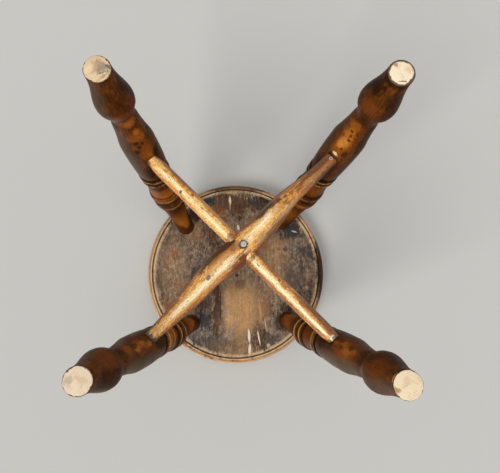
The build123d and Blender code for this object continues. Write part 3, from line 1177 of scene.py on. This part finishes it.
# -------------------------------------------------------------------------------------------- seat
@dataclass
class RoundSeat:
    """The seat board: flat below with a turned quirk, a rounded nose, and a slightly dished top.

    The quirk's points are given from the rim of the flat underside, and the nose's from the board's rim;
    both are given by how far out and how far up they are.
    """

    centre: Pair = (-1.2, -1.8)
    along_grain: float = 280.0
    across_grain: float = 275.0
    moulding: float = 9.4
    quirk: tuple[Pair, ...] = (
        (-1.2, 0), (-0.4, 0.1), (0, 0.5), (0.7, 1.9), (1.3, 2.3), (1.9, 1.9), (2.5, 0.9), (3.0, 0.6),
    )
    nose: tuple[Pair, ...] = (
        (-0.3, 10.0), (-0.1, 12.0), (-0.1, 14.0), (-0.3, 17.0), (-0.8, 20.0), (-1.7, 22.8), (-3.1, 25.2),
        (-5.0, 26.9), (-7.0, 27.6),
    )
    dish: float = 1.0
    pivot: Pair = (-0.8, 2.8)
    pivot_radius: float = 2.9
    segments: int = 216

    @property
    def rim(self) -> float:
        """Radius of the board as turned."""
        return self.along_grain / 2

    @property
    def flat(self) -> float:
        """Radius of the flat underside."""
        return self.rim - self.moulding

    def outline(self) -> Profile:
        """Half section of the board.

        Returns:
            Its points, from the middle of the underside, round the edge, to the middle of the top.
        """
        rim, flat, low, high = self.rim, self.flat, SEAT_UNDERSIDE, STOOL_HEIGHT - 0.2
        return [
            *((flat * i / 24, low) for i in range(24)),
            *((flat + out, low + up) for out, up in self.quirk),
            *bow((flat + 3.4, low + 0.7), (rim - 0.9, low + 8.0), 1.3, 8),
            *((rim + out, low + up) for out, up in self.nose),
            *(((rim - 9) * (1 - i / 22), high - self.dish * min(i / 9, 1.0)) for i in range(23)),
        ]

    def build(self, mortises: Sequence[Shell]) -> bpy.types.Object:
        """Turns the board, lets it shrink across the grain, and bores it.

        Args:
            mortises: Shells of the holes for the legs.

        Returns:
            The seat.
        """
        shell = spin(self.outline(), self.segments)
        names = ("rim", "crease", "arris", "top")
        rim, crease, arris, top = (shell.verts.layers.float.new(name) for name in names)
        flat = self.flat
        for vert in shell.verts:
            radius, height = math.hypot(vert.co.x, vert.co.y) / MM, vert.co.z / MM - SEAT_UNDERSIDE
            below = height < 20
            vert[rim] = ramp(radius, flat + 1.6, flat + 2.6) * (1 - ramp(height, 9, 19))
            vert[crease] = 0.9 * bell(radius, flat + 1.3, 0.75) if below and height > 0.3 else 0.0
            inner, outer = bell(radius, flat - 1.2, 1.2), bell(radius, flat + 3.4, 0.9)
            vert[arris] = max(inner, outer, 0.8 * bell(radius, self.rim - 1.2, 1.0)) if below else 0.0
            vert[top] = ramp(height, 8, 18)
            self.wear_down(vert, radius, height)
        shrink = Matrix.Diagonal((self.across_grain / self.along_grain, 1, 1, 1))
        settled = Matrix.Translation(point(*self.centre, 0)) @ shrink
        bmesh.ops.transform(shell, matrix=settled, verts=shell.verts)
        piece = as_piece(shell, "round_seat", [self.finish()])
        hole = [(0, -2), (self.pivot_radius, -2), (self.pivot_radius * 0.8, 8), (0, 10)]
        cut_away(piece, [*mortises, spin(hole, 24, Matrix.Translation(point(*self.pivot, SEAT_UNDERSIDE)))])
        place(piece, Slot.SEAT, "seat")
        return piece

    def wear_down(self, vert: bmesh.types.BMVert, radius: float, height: float) -> None:
        """Moves one point of the board as uneven turning and shrinking do.

        Args:
            vert: The point.
            radius: Its distance from the board's middle.
            height: Its height over the underside.
        """
        if height > 26 and radius < self.rim - 6:
            vert.co.z += unevenness(vert.co, 0.07, 5) * 0.18 * MM
        elif height < 0.05:
            vert.co.z += (0.15 + unevenness(vert.co, 0.05, 6) * 0.15) * MM
        else:
            share = 1 - (0.25 + 0.25 * unevenness(vert.co, 0.05, 7)) / self.rim
            vert.co.x, vert.co.y = vert.co.x * share, vert.co.y * share

    def finish(self) -> bpy.types.Material:
        """The board's finish, with its stains, its rubbed middle, its scratches, the painted shadow of the
        front-left leg, and painted shade and highlight on its rim.

        Returns:
            The material.
        """
        t = Tint

        def mark(
            tint: Tint, x: float, y: float, reach: Pair, strength: float, turn: float = 0.0,
            gritty: bool = False,
        ) -> Mark:
            """A mark on the underside, by its place and half sizes across and along the grain."""
            return Mark(tint, (x, y, SEAT_UNDERSIDE), (*reach, BOARD_MARK_DEPTH), strength, turn, gritty)

        marks = (
            mark(t.UMBER, 0, -112, (75, 22), 0.75), mark(t.LEAD, 88, -10, (26, 50), 0.45),
            mark(t.LEAD, -60, 92, (34, 28), 0.45), mark(t.TAN, 10, 112, (50, 16), 0.4),
            mark(t.RUST, -88, 22, (12, 16), 0.25), mark(t.TAN, -70, -70, (14, 24), 0.35, -30),
            mark(t.RUST, -104, -24, (8, 14), 0.25), mark(t.LEAD, -58, -10, (8, 26), 0.4),
            mark(t.TAN, 62, -30, (26, 30), 0.5), mark(t.TAN, 60, 15, (18, 24), 0.4),
            mark(t.TAN, 6, 55, (31, 48), 0.95), mark(t.FAWN, 8, 58, (22, 34), 0.4),
            mark(t.FAWN, -12, 72, (8, 24), 0.5), mark(t.TAN, 40, 60, (10, 36), 0.4),
            mark(t.SLATE, 5, 17, (8, 9), 0.55), mark(t.PLUM, -30, 32, (2.5, 18), 0.85),
            mark(t.SLATE, -52, 70, (15, 18), 0.9), mark(t.SLATE, 68, 74, (12, 18), 0.85),
            mark(t.SLATE, 84, -68, (20, 15), 0.9), mark(t.SLATE, 48, 104, (32, 16), 0.6),
            mark(t.SLATE, -30, 108, (30, 14), 0.45), mark(t.SLATE, 104, 45, (14, 30), 0.5),
            mark(t.SLATE, 95, -38, (8, 8), 0.5), mark(t.SLATE, -82, 4, (7, 7), 0.4),
            mark(t.SLATE, 76, -38, (5, 5), 0.6), mark(t.UMBER, 92, 0, (22, 45), 0.4),
            mark(t.SLATE, 100, -15, (6, 10), 0.5), mark(t.FAWN, -15, 40, (6, 16), 0.5),
            mark(t.FAWN, -97, -8, (20, 40), 0.22), mark(t.UMBER, -31, 60, (8, 36), 0.75),
            # SLATE at (-52, -118) and PITCH at (-66, -92) are painted shadow cast by the front-left leg
            # across the board.
            mark(t.SLATE, -52, -118, (20, 12), 0.9), mark(t.PITCH, 62, -118, (26, 10), 0.8),
            mark(t.PITCH, -66, -92, (14, 12), 0.8), mark(t.RUST, -100, -30, (7, 7), 0.3),
            mark(t.RUST, 100, -80, (6, 3), 0.8), mark(t.UMBER, 35, 95, (10, 22), 0.6),
            mark(t.UMBER, -42, -62, (10, 26), 0.5, -42), mark(t.PITCH, 78, 62, (9, 34), 0.6, -44),
        )
        scratches = (
            mark(t.CHALK, 18.5, 96, (1.9, 11), 1.0, -4), mark(t.CHALK, 19.5, 117, (2.2, 9), 0.9, 3),
            mark(t.CHALK, 33.5, 99, (1.2, 12), 0.95, -10), mark(t.CHALK, 44, 80, (0.9, 11), 0.5, -8),
            mark(t.CHALK, -11, -115, (2.0, 7), 0.9), mark(t.FAWN, -11, -106, (1.4, 8), 0.5),
            mark(t.CHALK, 2, -72, (2.1, 5), 0.9, -12), mark(t.FAWN, -13, 74, (8, 24), 0.75, 0, True),
            mark(t.STRAW, -15, 66, (4, 12), 0.35, 0, True), mark(t.PLUM, -25.5, 56, (1.6, 30), 0.8),
            mark(t.CHALK, 24, 74, (3, 8), 0.4, -6, True), mark(t.CHALK, -4, 92, (8, 8), 0.4, 0, True),
            mark(t.CHALK, 48, 111, (3, 3.5), 0.5), mark(t.CHALK, 90, -66, (5, 1.2), 0.8, 15),
            mark(t.CHALK, -62, -36, (26, 17), 0.45, 30, True), mark(t.CHALK, -50, 93, (16, 9), 0.4, 0, True),
            mark(t.SLATE, 117, -34, (17, 11), 0.6, 20), mark(t.RUST, 36, -44, (24, 13), 0.35, -30),
            mark(t.SLATE, -61, 3, (12, 17), 0.45, 10), mark(t.PLUM, -48, 44, (15, 13), 0.55),
            mark(t.RUST, -28, -92, (12, 16), 0.4), mark(t.SLATE, 30, -110, (16, 9), 0.6, 30),
            mark(t.RUST, 98, 46, (15, 13), 0.35), mark(t.RUST, -104, 52, (12, 16), 0.35),
            mark(t.CHALK, 88, -25, (12, 28), 0.25, 0, True), mark(t.FAWN, 10, 55, (28, 44), 0.5, 0, True),
            mark(t.CHALK, -98, 10, (24, 60), 0.25, 0, True), mark(t.FAWN, -9, -128, (10, 2.5), 0.6),
            mark(t.FAWN, 36, 60, (1.5, 20), 0.5, -6), mark(t.CHALK, 22, -120, (12, 6), 0.6, 0, True),
            mark(t.CHALK, 25, 108, (22, 16), 0.35, 0, True),
        )
        low = SEAT_UNDERSIDE + 4
        # UMBER and PITCH marks are painted shade on the rim's +X and -Y sides, away from the key lamp; the
        # CREAM marks are painted highlight along the +Y side, which faces it.
        edge_marks = (
            Mark(t.UMBER, (137, -18, low), (14, 105, 20), 0.85),
            Mark(t.PITCH, (129, -25, low), (8, 90, 14), 0.75),
            Mark(t.UMBER, (10, -139, low), (110, 12, 18), 0.75),
            Mark(t.PITCH, (98, -98, low), (12, 34, 18), 0.6, 45),
            Mark(t.RUST, (-10, -141, low), (90, 3, 16), 0.6),
            Mark(t.CREAM, (10, 138.4, low), (70, 1.6, 9), 0.6),
            Mark(t.CREAM, (62, 123.5, low), (34, 1.5, 9), 0.5, -27),
        )
        return BoardWood("seat_board", Matrix.Identity(4), marks, scratches, edge_marks).material()


# -------------------------------------------------------------------------------------- stretchers
@dataclass
class Stretcher:
    """A bar between two legs, shaved or turned, with a round tenon at each end.

    Its knots are distances from its middle, with the thickness at each. A bend is a distance, how far its
    crook spreads and how far it moves the bar.
    """

    node: str
    joint: Joint
    slot: Slot
    knots: tuple[Pair, ...]
    flats: int
    flat_depth: float
    seed: int
    tones: Stops
    marks: tuple[MarkRow, ...]
    fleck_depth: float
    light_and_wear_turn: float = 0.0
    bends: tuple[tuple[float, float, float], ...] = ()
    tenon_length: float = 16.0
    tenon_taper: float = 0.1
    shoulder: float = 12.0
    sharp: float = 50.0
    segments: int = 108

    def radius(self, distance: float) -> float:
        """Radius of the bar at a distance from its middle.

        Args:
            distance: The distance, in millimetres.

        Returns:
            The radius, in millimetres.
        """
        for (low, low_size), (high, high_size) in zip(self.knots, self.knots[1:]):
            if low <= distance <= high:
                return (low_size + (high_size - low_size) * (distance - low) / (high - low)) / 2
        return self.knots[-1][1] / 2

    def build(self, cutters: Sequence[Shell]) -> bpy.types.Object:
        """Shapes the bar, sets it in place and bores it.

        Args:
            cutters: Shells of what is cut out of it.

        Returns:
            The bar.
        """
        half = self.joint.half
        body = flow([(thickness / 2, distance) for distance, thickness in self.knots], 2.5)
        first, last = (self.knots[i][1] / 2 - self.tenon_taper for i in (0, -1))
        shell = spin([(0, -half), (first, -half), *body, (last, half), (0, half)], self.segments)
        # The worn weight is wear and painted light together: it peaks on the underside, turned towards the
        # key lamp, and is nothing on the upper half.
        worn = shell.verts.layers.float.new("worn")
        for vert in shell.verts:
            bearing = math.degrees(math.atan2(vert.co.y, vert.co.x))
            vert[worn] = max(math.sin(math.radians(bearing - self.light_and_wear_turn)), 0.0)
            self.shave(vert)
            crook = sum(shift * bell(vert.co.z / MM, centre, width) for centre, width, shift in self.bends)
            vert.co.x += crook * MM
        bmesh.ops.transform(shell, matrix=self.joint.matrix, verts=shell.verts)
        piece = as_piece(shell, f"shaved_{self.node}", [self.finish()], self.sharp)
        cut_away(piece, cutters, self.sharp)
        place(piece, self.slot, self.node)
        return piece

    def shave(self, vert: bmesh.types.BMVert) -> None:
        """Moves one point in to the flats that a drawknife leaves, and to small dents.

        Args:
            vert: The point, in the bar's own frame.
        """
        across = Vector((vert.co.x, vert.co.y, 0))
        if across.length < ON_AXIS:
            return
        inner = ramp(self.joint.half - self.tenon_length - abs(vert.co.z) / MM, 0, self.shoulder)
        drift = unevenness(Vector((0, 0, vert.co.z)), 0.09, self.seed) * 0.5
        slice_angle = math.tau / self.flats
        bearing = (math.atan2(vert.co.y, vert.co.x) + drift) % slice_angle - slice_angle / 2
        flat = 1 - math.cos(slice_angle / 2) / math.cos(bearing)
        swell = 0.1 * (1 + unevenness(vert.co, 0.03, self.seed)) + dents(vert.co, 0.008, self.seed, 0.45, 1.5)
        vert.co -= across.normalized() * (flat * self.flat_depth * across.length + swell * MM) * inner

    def finish(self) -> bpy.types.Material:
        """The bar's wood, with its marks.

        Returns:
            The material.
        """
        marks = marks_round(self.marks, self.radius)
        wood = StretcherWood(f"{self.node}_wood", self.joint.matrix, marks, self.tones, self.fleck_depth)
        return wood.material()


def main_stretcher() -> Stretcher:
    """The thick swelled bar, shaved by hand and worn golden below, with painted highlights along its lit
    underside and painted shade on its sides.

    Returns:
        The bar.
    """
    t = Tint
    return Stretcher(
        "main_stretcher", MAIN_JOINT, Slot.MAIN,
        (
            (-146, 16.0), (-126, 18.7), (-103, 22.2), (-80, 25.8), (-58, 29.6), (-36, 34.0), (-20, 35.6),
            (4, 34.6), (27, 32.2), (48, 30.6), (62, 28.0), (75, 24.8), (90, 21.8), (106, 19.8), (126, 17.8),
            (146, 16.0),
        ),
        9, 0.75, 11,
        ((0.36, (0.58, 0.215, 0.034)), (0.47, (0.84, 0.385, 0.078)), (0.6, (1.0, 0.62, 0.20))),
        (
            # The RED_BROWN, UMBER and PITCH marks near station -30 are painted shade on the facet that faces
            # away from the key lamp.
            (t.RED_BROWN, -30, 26, (38, 17), 0.95), (t.UMBER, -26, 18, (34, 14), 0.85),
            (t.PITCH, -30, 6, (34, 8), 0.7), (t.RUST, -110, 8, (50, 9), 0.85),
            (t.RUST, -100, 174, (60, 7), 0.8), (t.RED_BROWN, -15, 172, (36, 9), 0.9),
            (t.RED_BROWN, 60, 166, (55, 14), 0.9), (t.UMBER, 52, 20, (38, 12), 0.9),
            (t.RUST, 15, 22, (24, 8), 0.8), (t.RUST, 78, 28, (26, 7), 0.75),
            (t.ORANGE, 84, 100, (34, 20), 0.4),
            # STRAW and CREAM marks along bearings 76 to 110 are painted highlights on the bar's lit
            # underside.
            (t.STRAW, -92, 95, (48, 6), 0.45), (t.CREAM, -82, 97, (40, 3.8), 0.95),
            (t.CREAM, -60, 106, (15, 4), 0.9), (t.STRAW, -36, 106, (22, 6), 0.5),
            (t.CREAM, -38, 98, (20, 4.2), 0.9),
            (t.ORANGE, -36, 66, (24, 6), 0.75), (t.HONEY, -38, 74, (20, 4), 0.8),
            (t.FAWN, -24, 118, (16, 5), 0.6), (t.CREAM, -28, 110, (12, 2.8), 0.7),
            (t.RED_BROWN, -16, 152, (22, 11), 0.9),
            (t.RED_BROWN, -10, 128, (6, 5), 0.7), (t.UMBER, -14, 42, (14, 4), 0.85),
            (t.PITCH, -7, 52, (7, 2.5), 0.85), (t.PITCH, -12, 34, (6, 2), 0.8),
            (t.RUST, -9, 74, (7, 6), 0.75), (t.PLUM, -56, 86, (4, 2.6), 0.85),
            (t.PLUM, -50, 92, (2, 1.6), 0.6), (t.RUST, -62, 76, (4, 2), 0.6),
            # More painted highlights: STRAW and CREAM marks along the lit underside.
            (t.STRAW, 30, 82, (34, 8), 0.45), (t.CREAM, 26, 84, (28, 4.6), 0.9),
            (t.CREAM, 10, 96, (8, 4), 0.7), (t.CREAM, 48, 76, (12, 4), 0.85),
            (t.HONEY, 60, 86, (12, 9), 0.6), (t.FAWN, 30, 128, (24, 5), 0.7),
            (t.FAWN, 70, 126, (22, 4), 0.75), (t.RED_BROWN, 42, 142, (16, 4), 0.6),
            (t.UMBER, 42, 50, (11, 4), 0.95), (t.PITCH, 56, 42, (8, 5), 0.9),
            (t.RED_BROWN, 66, 48, (6, 5), 0.85), (t.PITCH, 68, 52, (3, 2.6), 0.8),
            (t.UMBER, 76, 62, (4, 2.8), 0.8), (t.RED_BROWN, 72, 90, (5, 4), 0.6),
            (t.RED_BROWN, 84, 70, (4, 3), 0.6), (t.ORANGE, 88, 84, (12, 9), 0.6),
            (t.HONEY, 96, 78, (10, 5), 0.6),
            (t.RUST, 136, 90, (50, 30), 0.97), (t.RED_BROWN, 132, 60, (24, 5), 0.8),
            (t.TAN, 122, 108, (26, 3.2), 0.7), (t.FAWN, 112, 92, (12, 2), 0.5),
            # The PITCH mark at station 128 is painted shade along the end where it meets the front-right leg.
            (t.PITCH, 128, 168, (26, 6), 0.85), (t.UMBER, 130, 12, (24, 5), 0.85),
            # The UMBER marks near station -140 and the PITCH mark at -150 are painted shade on the sides and
            # tip of the back-left end.
            (t.UMBER, -140, 5, (14, 6), 0.9), (t.UMBER, -142, 175, (12, 5), 0.85),
            (t.PITCH, -150, 90, (5, 14), 0.95), (t.STRAW, -146, 66, (5, 2.2), 0.9),
            (t.STRAW, -145, 112, (5, 2.2), 0.9),
            # The PITCH ring at station 0 is partly a stain and partly painted shade in the recess round the
            # crossing nail.
            (t.PITCH, 0, 90, (6.3, 6.0), 0.92), (t.CHALK, -2, 122, (5, 3), 0.4),
        ),
        0.8, bends=((-52, 20, 2.7), (80, 26, 2.3)),
    )


def cross_stretcher() -> Stretcher:
    """The thin round bar, worn pale along its underside, with painted highlights along it and painted shade
    on its sides.

    Returns:
        The bar.
    """
    t = Tint
    return Stretcher(
        "cross_stretcher", CROSS_JOINT, Slot.CROSS,
        (
            (-150, 14.3), (-147, 14.6), (-143, 16.4), (-138, 17.7), (-128, 18.2), (-90, 18.2), (-50, 18.0),
            (-20, 18.0), (20, 18.0), (50, 18.0), (90, 18.2), (128, 18.2), (138, 17.7), (143, 16.4),
            (147, 14.6), (150, 14.3),
        ),
        10, 0.25, 12,
        ((0.36, (0.62, 0.25, 0.045)), (0.47, (0.88, 0.44, 0.105)), (0.6, (1.0, 0.68, 0.26))),
        (
            # STRAW and CREAM marks along bearings 102 to 113 are painted highlights on the bar's lit
            # underside.
            (t.STRAW, -82, 104, (66, 4), 0.4), (t.CREAM, -44, 105, (30, 2.6), 0.95),
            (t.CREAM, -112, 104, (30, 2.3), 0.95), (t.STRAW, 68, 102, (60, 4.4), 0.4),
            (t.CREAM, 42, 103, (28, 3.2), 0.9), (t.CREAM, 88, 108, (26, 2.6), 0.9),
            (t.CREAM, -78, 103, (16, 2.0), 0.8), (t.AMBER, 128, 88, (40, 17), 0.5),
            (t.RUST, 134, 70, (24, 8), 0.6), (t.CREAM, 122, 113, (26, 2.2), 0.9),
            (t.ORANGE, -60, 50, (64, 4), 0.7), (t.RUST, -118, 44, (36, 4.4), 0.8),
            (t.RUST, 60, 150, (70, 3.4), 0.7), (t.RUST, 40, 40, (28, 4.2), 0.7),
            (t.RUST, 112, 62, (40, 4.6), 0.7), (t.RED_BROWN, 116, 36, (38, 4.4), 0.85),
            (t.UMBER, 118, 10, (40, 4.6), 0.85),
            (t.UMBER, -98, 118, (1.9, 1.9), 0.95), (t.UMBER, -85, 75, (2, 1.5), 0.6),
            (t.RUST, -66, 90, (3, 2), 0.6), (t.RUST, -58, 80, (4, 1.5), 0.6),
            (t.RUST, -128, 82, (4, 2), 0.6), (t.RUST, -108, 76, (3, 1.6), 0.6),
            (t.RUST, 66, 78, (5, 2.4), 0.6), (t.RUST, 96, 84, (5, 2.2), 0.7),
            (t.PITCH, 58, 72, (2.2, 1.5), 0.7), (t.FAWN, 52, 128, (14, 2.4), 0.6),
            (t.RED_BROWN, -17, 90, (6, 10), 0.75), (t.UMBER, 17, 90, (4, 10), 0.7),
            # The CHALK mark at station 147 is a painted glint at the bar's end.
            (t.RUST, 138, 78, (12, 3.2), 0.7), (t.CHALK, 147, 96, (2.4, 3.4), 0.9),
            # The UMBER marks at stations -150 and 150 are painted shade on the edges of the bar's ends.
            (t.STRAW, -146, 92, (5, 5), 0.5), (t.UMBER, -150, 20, (5, 6), 0.9),
            (t.UMBER, -150, 165, (4, 5), 0.9), (t.UMBER, 150, 20, (5, 6), 0.9),
            (t.UMBER, 150, 165, (4, 5), 0.9),
        ),
        0.7, 10.0,
    )


# ------------------------------------------------------------------------------------------- nails
@dataclass
class ForgedNail:
    """A nail with a hammered head: the place under its head, its direction, and its sizes."""

    node: str
    under_head: Place
    way: Place
    head: tuple[Pair, ...]
    shank: Pair
    seed: int
    point_length: float = 4.0
    segments: int = 40

    def build(self, iron: bpy.types.Material) -> bpy.types.Object:
        """Forges the nail in place.

        Args:
            iron: Its finish.

        Returns:
            The nail.
        """
        radius, length = self.shank
        profile = [*self.head, (radius, 0), (radius, length - self.point_length), (0, length)]
        shell = spin(profile, self.segments)
        crown = shell.verts.layers.float.new("crown")
        top = max(-station for _, station in self.head)
        for vert in shell.verts:
            vert[crown] = ramp(-vert.co.z / MM, 0.35 * top, top)
            if vert.co.z < 0:
                vert.co.z = min(vert.co.z * (0.88 + 0.12 * unevenness(vert.co, 0.0022, self.seed)), 0.0)
        turn = Vector(self.way).to_track_quat("Z", "Y").to_matrix().to_4x4()
        driven = Matrix.Translation(point(*self.under_head)) @ turn
        bmesh.ops.transform(shell, matrix=driven, verts=shell.verts)
        piece = as_piece(shell, f"forged_{self.node}", [iron])
        place(piece, Slot.NAIL, self.node)
        return piece


CROSSING: Place = (1.6, -3.1, 152.6)


def nails() -> list[ForgedNail]:
    """The nails.

    Returns:
        The crossing nail and the two small ones at the stretchers' ends.
    """
    dome = ((0, -0.8), (1.4, -0.95), (2.6, -1.0), (3.3, -0.85), (3.8, -0.5), (4.1, -0.2), (4.2, 0))
    punched = ((0, -0.25), (0.9, -0.3), (1.2, -0.95), (1.6, -1.1), (1.95, -0.9), (2.2, -0.4), (2.2, 0))
    return [
        ForgedNail("crossing_nail", CROSSING, (0, 0, 1), dome, (1.4, 26), 21),
        ForgedNail("nail_front_right", (106.8, -107.9, 157.2), (0.497, -0.493, 1), punched, (0.9, 20), 22),
        ForgedNail("nail_back_right", (105.6, 104.8, 160.4), (0.497, 0.493, 1), punched, (0.9, 20), 23),
    ]


def nail_recess() -> Shell:
    """Cutter for the shallow recess under the crossing nail's head."""
    return spin([(0, -9.9), (5.1, -9.9), (5.0, 0.1), (0, 0.1)], 36, Matrix.Translation(point(*CROSSING)))


# ------------------------------------------------------------------------------------------ wedges
def dress_wedges(all_legs: Sequence[TurnedLeg], radius: float = 14.5) -> None:
    """Gives the wedges' own solids their wood: end grain, dark with the seat's wax.

    Args:
        all_legs: The legs that hold them.
        radius: Where the dirt round a wedge starts, in millimetres from its leg's axis.
    """
    for leg in all_legs:
        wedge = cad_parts[f"wedge_{leg.name}"]
        wedge.data.materials.clear()
        finish = SawnEnd(f"wedge_end_{leg.name}", leg.tip, radius, **WAXED_WEDGE)
        wedge.data.materials.append(finish.material())
        log.info("wedge_%s: dressed", leg.name)


# ------------------------------------------------------------------------------------------- studio
@dataclass(frozen=True)
class Sun:
    """A soft sun: its direction from the stool, its irradiance and its width in degrees."""

    name: str
    direction: Place
    strength: float
    spread: float

    def hang(self) -> None:
        """Hangs the sun in the scene."""
        data = bpy.data.lights.new(self.name, "SUN")
        data.energy = self.strength
        data.angle = math.radians(self.spread)
        lamp = bpy.data.objects.new(self.name, data)
        lamp.rotation_euler = Vector(self.direction).to_track_quat("Z", "Y").to_euler()
        bpy.context.scene.collection.objects.link(lamp)


@dataclass
class Studio:
    """Plain pale floor and backdrop, soft lights and the camera."""

    focal_length: float = 50.4
    camera_place: Place = (-23.794, 120.182, -650.217)
    camera_turn: tuple[float, float, float, float] = (-0.08140427, 0.99647591, 0.00003556, -0.02022628)
    paper: Colour = (0.575, 0.568, 0.54)
    paper_half: float = 3000.0
    gap: float = 0.3
    sky: float = 0.42
    suns: tuple[Sun, ...] = (
        Sun("key", (-0.5, 0.72, -0.9), 1.82, 28),
        Sun("front", (0.06, 0.12, -1.0), 0.55, 22),
        Sun("over", (-0.35, 0.3, 1.0), 1.8, 40),
        Sun("side", (0.9, -0.6, 0.35), 0.6, 50),
    )

    def camera(self) -> None:
        """Puts the camera under the stool, looking up at the underside."""
        data = bpy.data.cameras.new("camera")
        data.lens = self.focal_length
        data.sensor_fit = "HORIZONTAL"
        camera = bpy.data.objects.new("camera", data)
        camera.location = point(*self.camera_place)
        camera.rotation_euler = Quaternion(self.camera_turn).to_euler()
        bpy.context.scene.collection.objects.link(camera)
        bpy.context.scene.camera = camera

    def sheet(self, name: str, height: float, faces_down: bool) -> None:
        """A wide pale sheet, seen only from its front.

        Args:
            name: Name of the sheet.
            height: Its height, in millimetres.
            faces_down: Whether its front is below.
        """
        plane = bmesh.new()
        bmesh.ops.create_grid(plane, x_segments=1, y_segments=1, size=self.paper_half * MM)
        if faces_down:
            bmesh.ops.reverse_faces(plane, faces=plane.faces)
        bmesh.ops.translate(plane, vec=(0, 0, height * MM), verts=plane.verts)
        as_piece(plane, name, [self.paper_material(f"{name}_paper")])

    def paper_material(self, name: str) -> bpy.types.Material:
        """Matt paper that lets light through and shows only from the front.

        Args:
            name: Name of the material.

        Returns:
            The material.
        """
        bench = Bench(name)
        paper = bench.node("BsdfDiffuse", {"Color": self.paper})
        clear = bench.node("BsdfTransparent", {})
        ray = bench.node("LightPath", {}).outputs
        behind = bench.node("NewGeometry", {}).outputs["Backfacing"]
        seen = bench.maths("MAXIMUM", ray["Is Camera Ray"], ray["Is Glossy Ray"])
        front = bench.maths("SUBTRACT", seen, behind, clamp=True)
        return bench.close(bench.node("MixShader", {0: front, 1: clear.outputs[0], 2: paper.outputs[0]}))

    def world(self) -> None:
        """Even light from all round, behind a background of the paper's own colour."""
        world = bpy.data.worlds.new("studio")
        world.use_nodes = True
        layout = Layout(world.node_tree)
        seen = layout.node("LightPath", {}).outputs["Is Camera Ray"]
        light = layout.node("Background", {"Color": WHITE, "Strength": self.sky})
        backing = layout.node("Background", {"Color": self.paper})
        mixed = layout.node("MixShader", {0: seen, 1: light.outputs[0], 2: backing.outputs[0]})
        layout.node("OutputWorld", {"Surface": mixed.outputs[0]})
        bpy.context.scene.world = world

    def build(self) -> None:
        """Sets up the camera, the paper, the background and the suns."""
        self.camera()
        self.sheet("backdrop", STOOL_HEIGHT + self.gap, True)
        self.sheet("floor", -self.gap, False)
        self.world()
        bpy.context.scene.view_settings.view_transform = "Standard"
        for sun in self.suns:
            sun.hang()


def main() -> None:
    """Builds and dresses every piece, in order."""
    logging.basicConfig(level=logging.INFO, format="%(name)s: %(message)s")
    Studio().build()
    all_legs = legs()
    for leg in all_legs:
        leg.build()
    RoundSeat().build([leg.mortise() for leg in all_legs])
    cross_bore = CROSS_JOINT.borer(CROSS_BORE, -CROSS_BORE_REACH, CROSS_BORE_REACH)
    main_stretcher().build([cross_bore, nail_recess()])
    cross_stretcher().build([])
    iron = NailIron("nail_iron").material()
    for nail in nails():
        nail.build(iron)
    dress_wedges(all_legs)


if __name__ == "__main__":
    main()
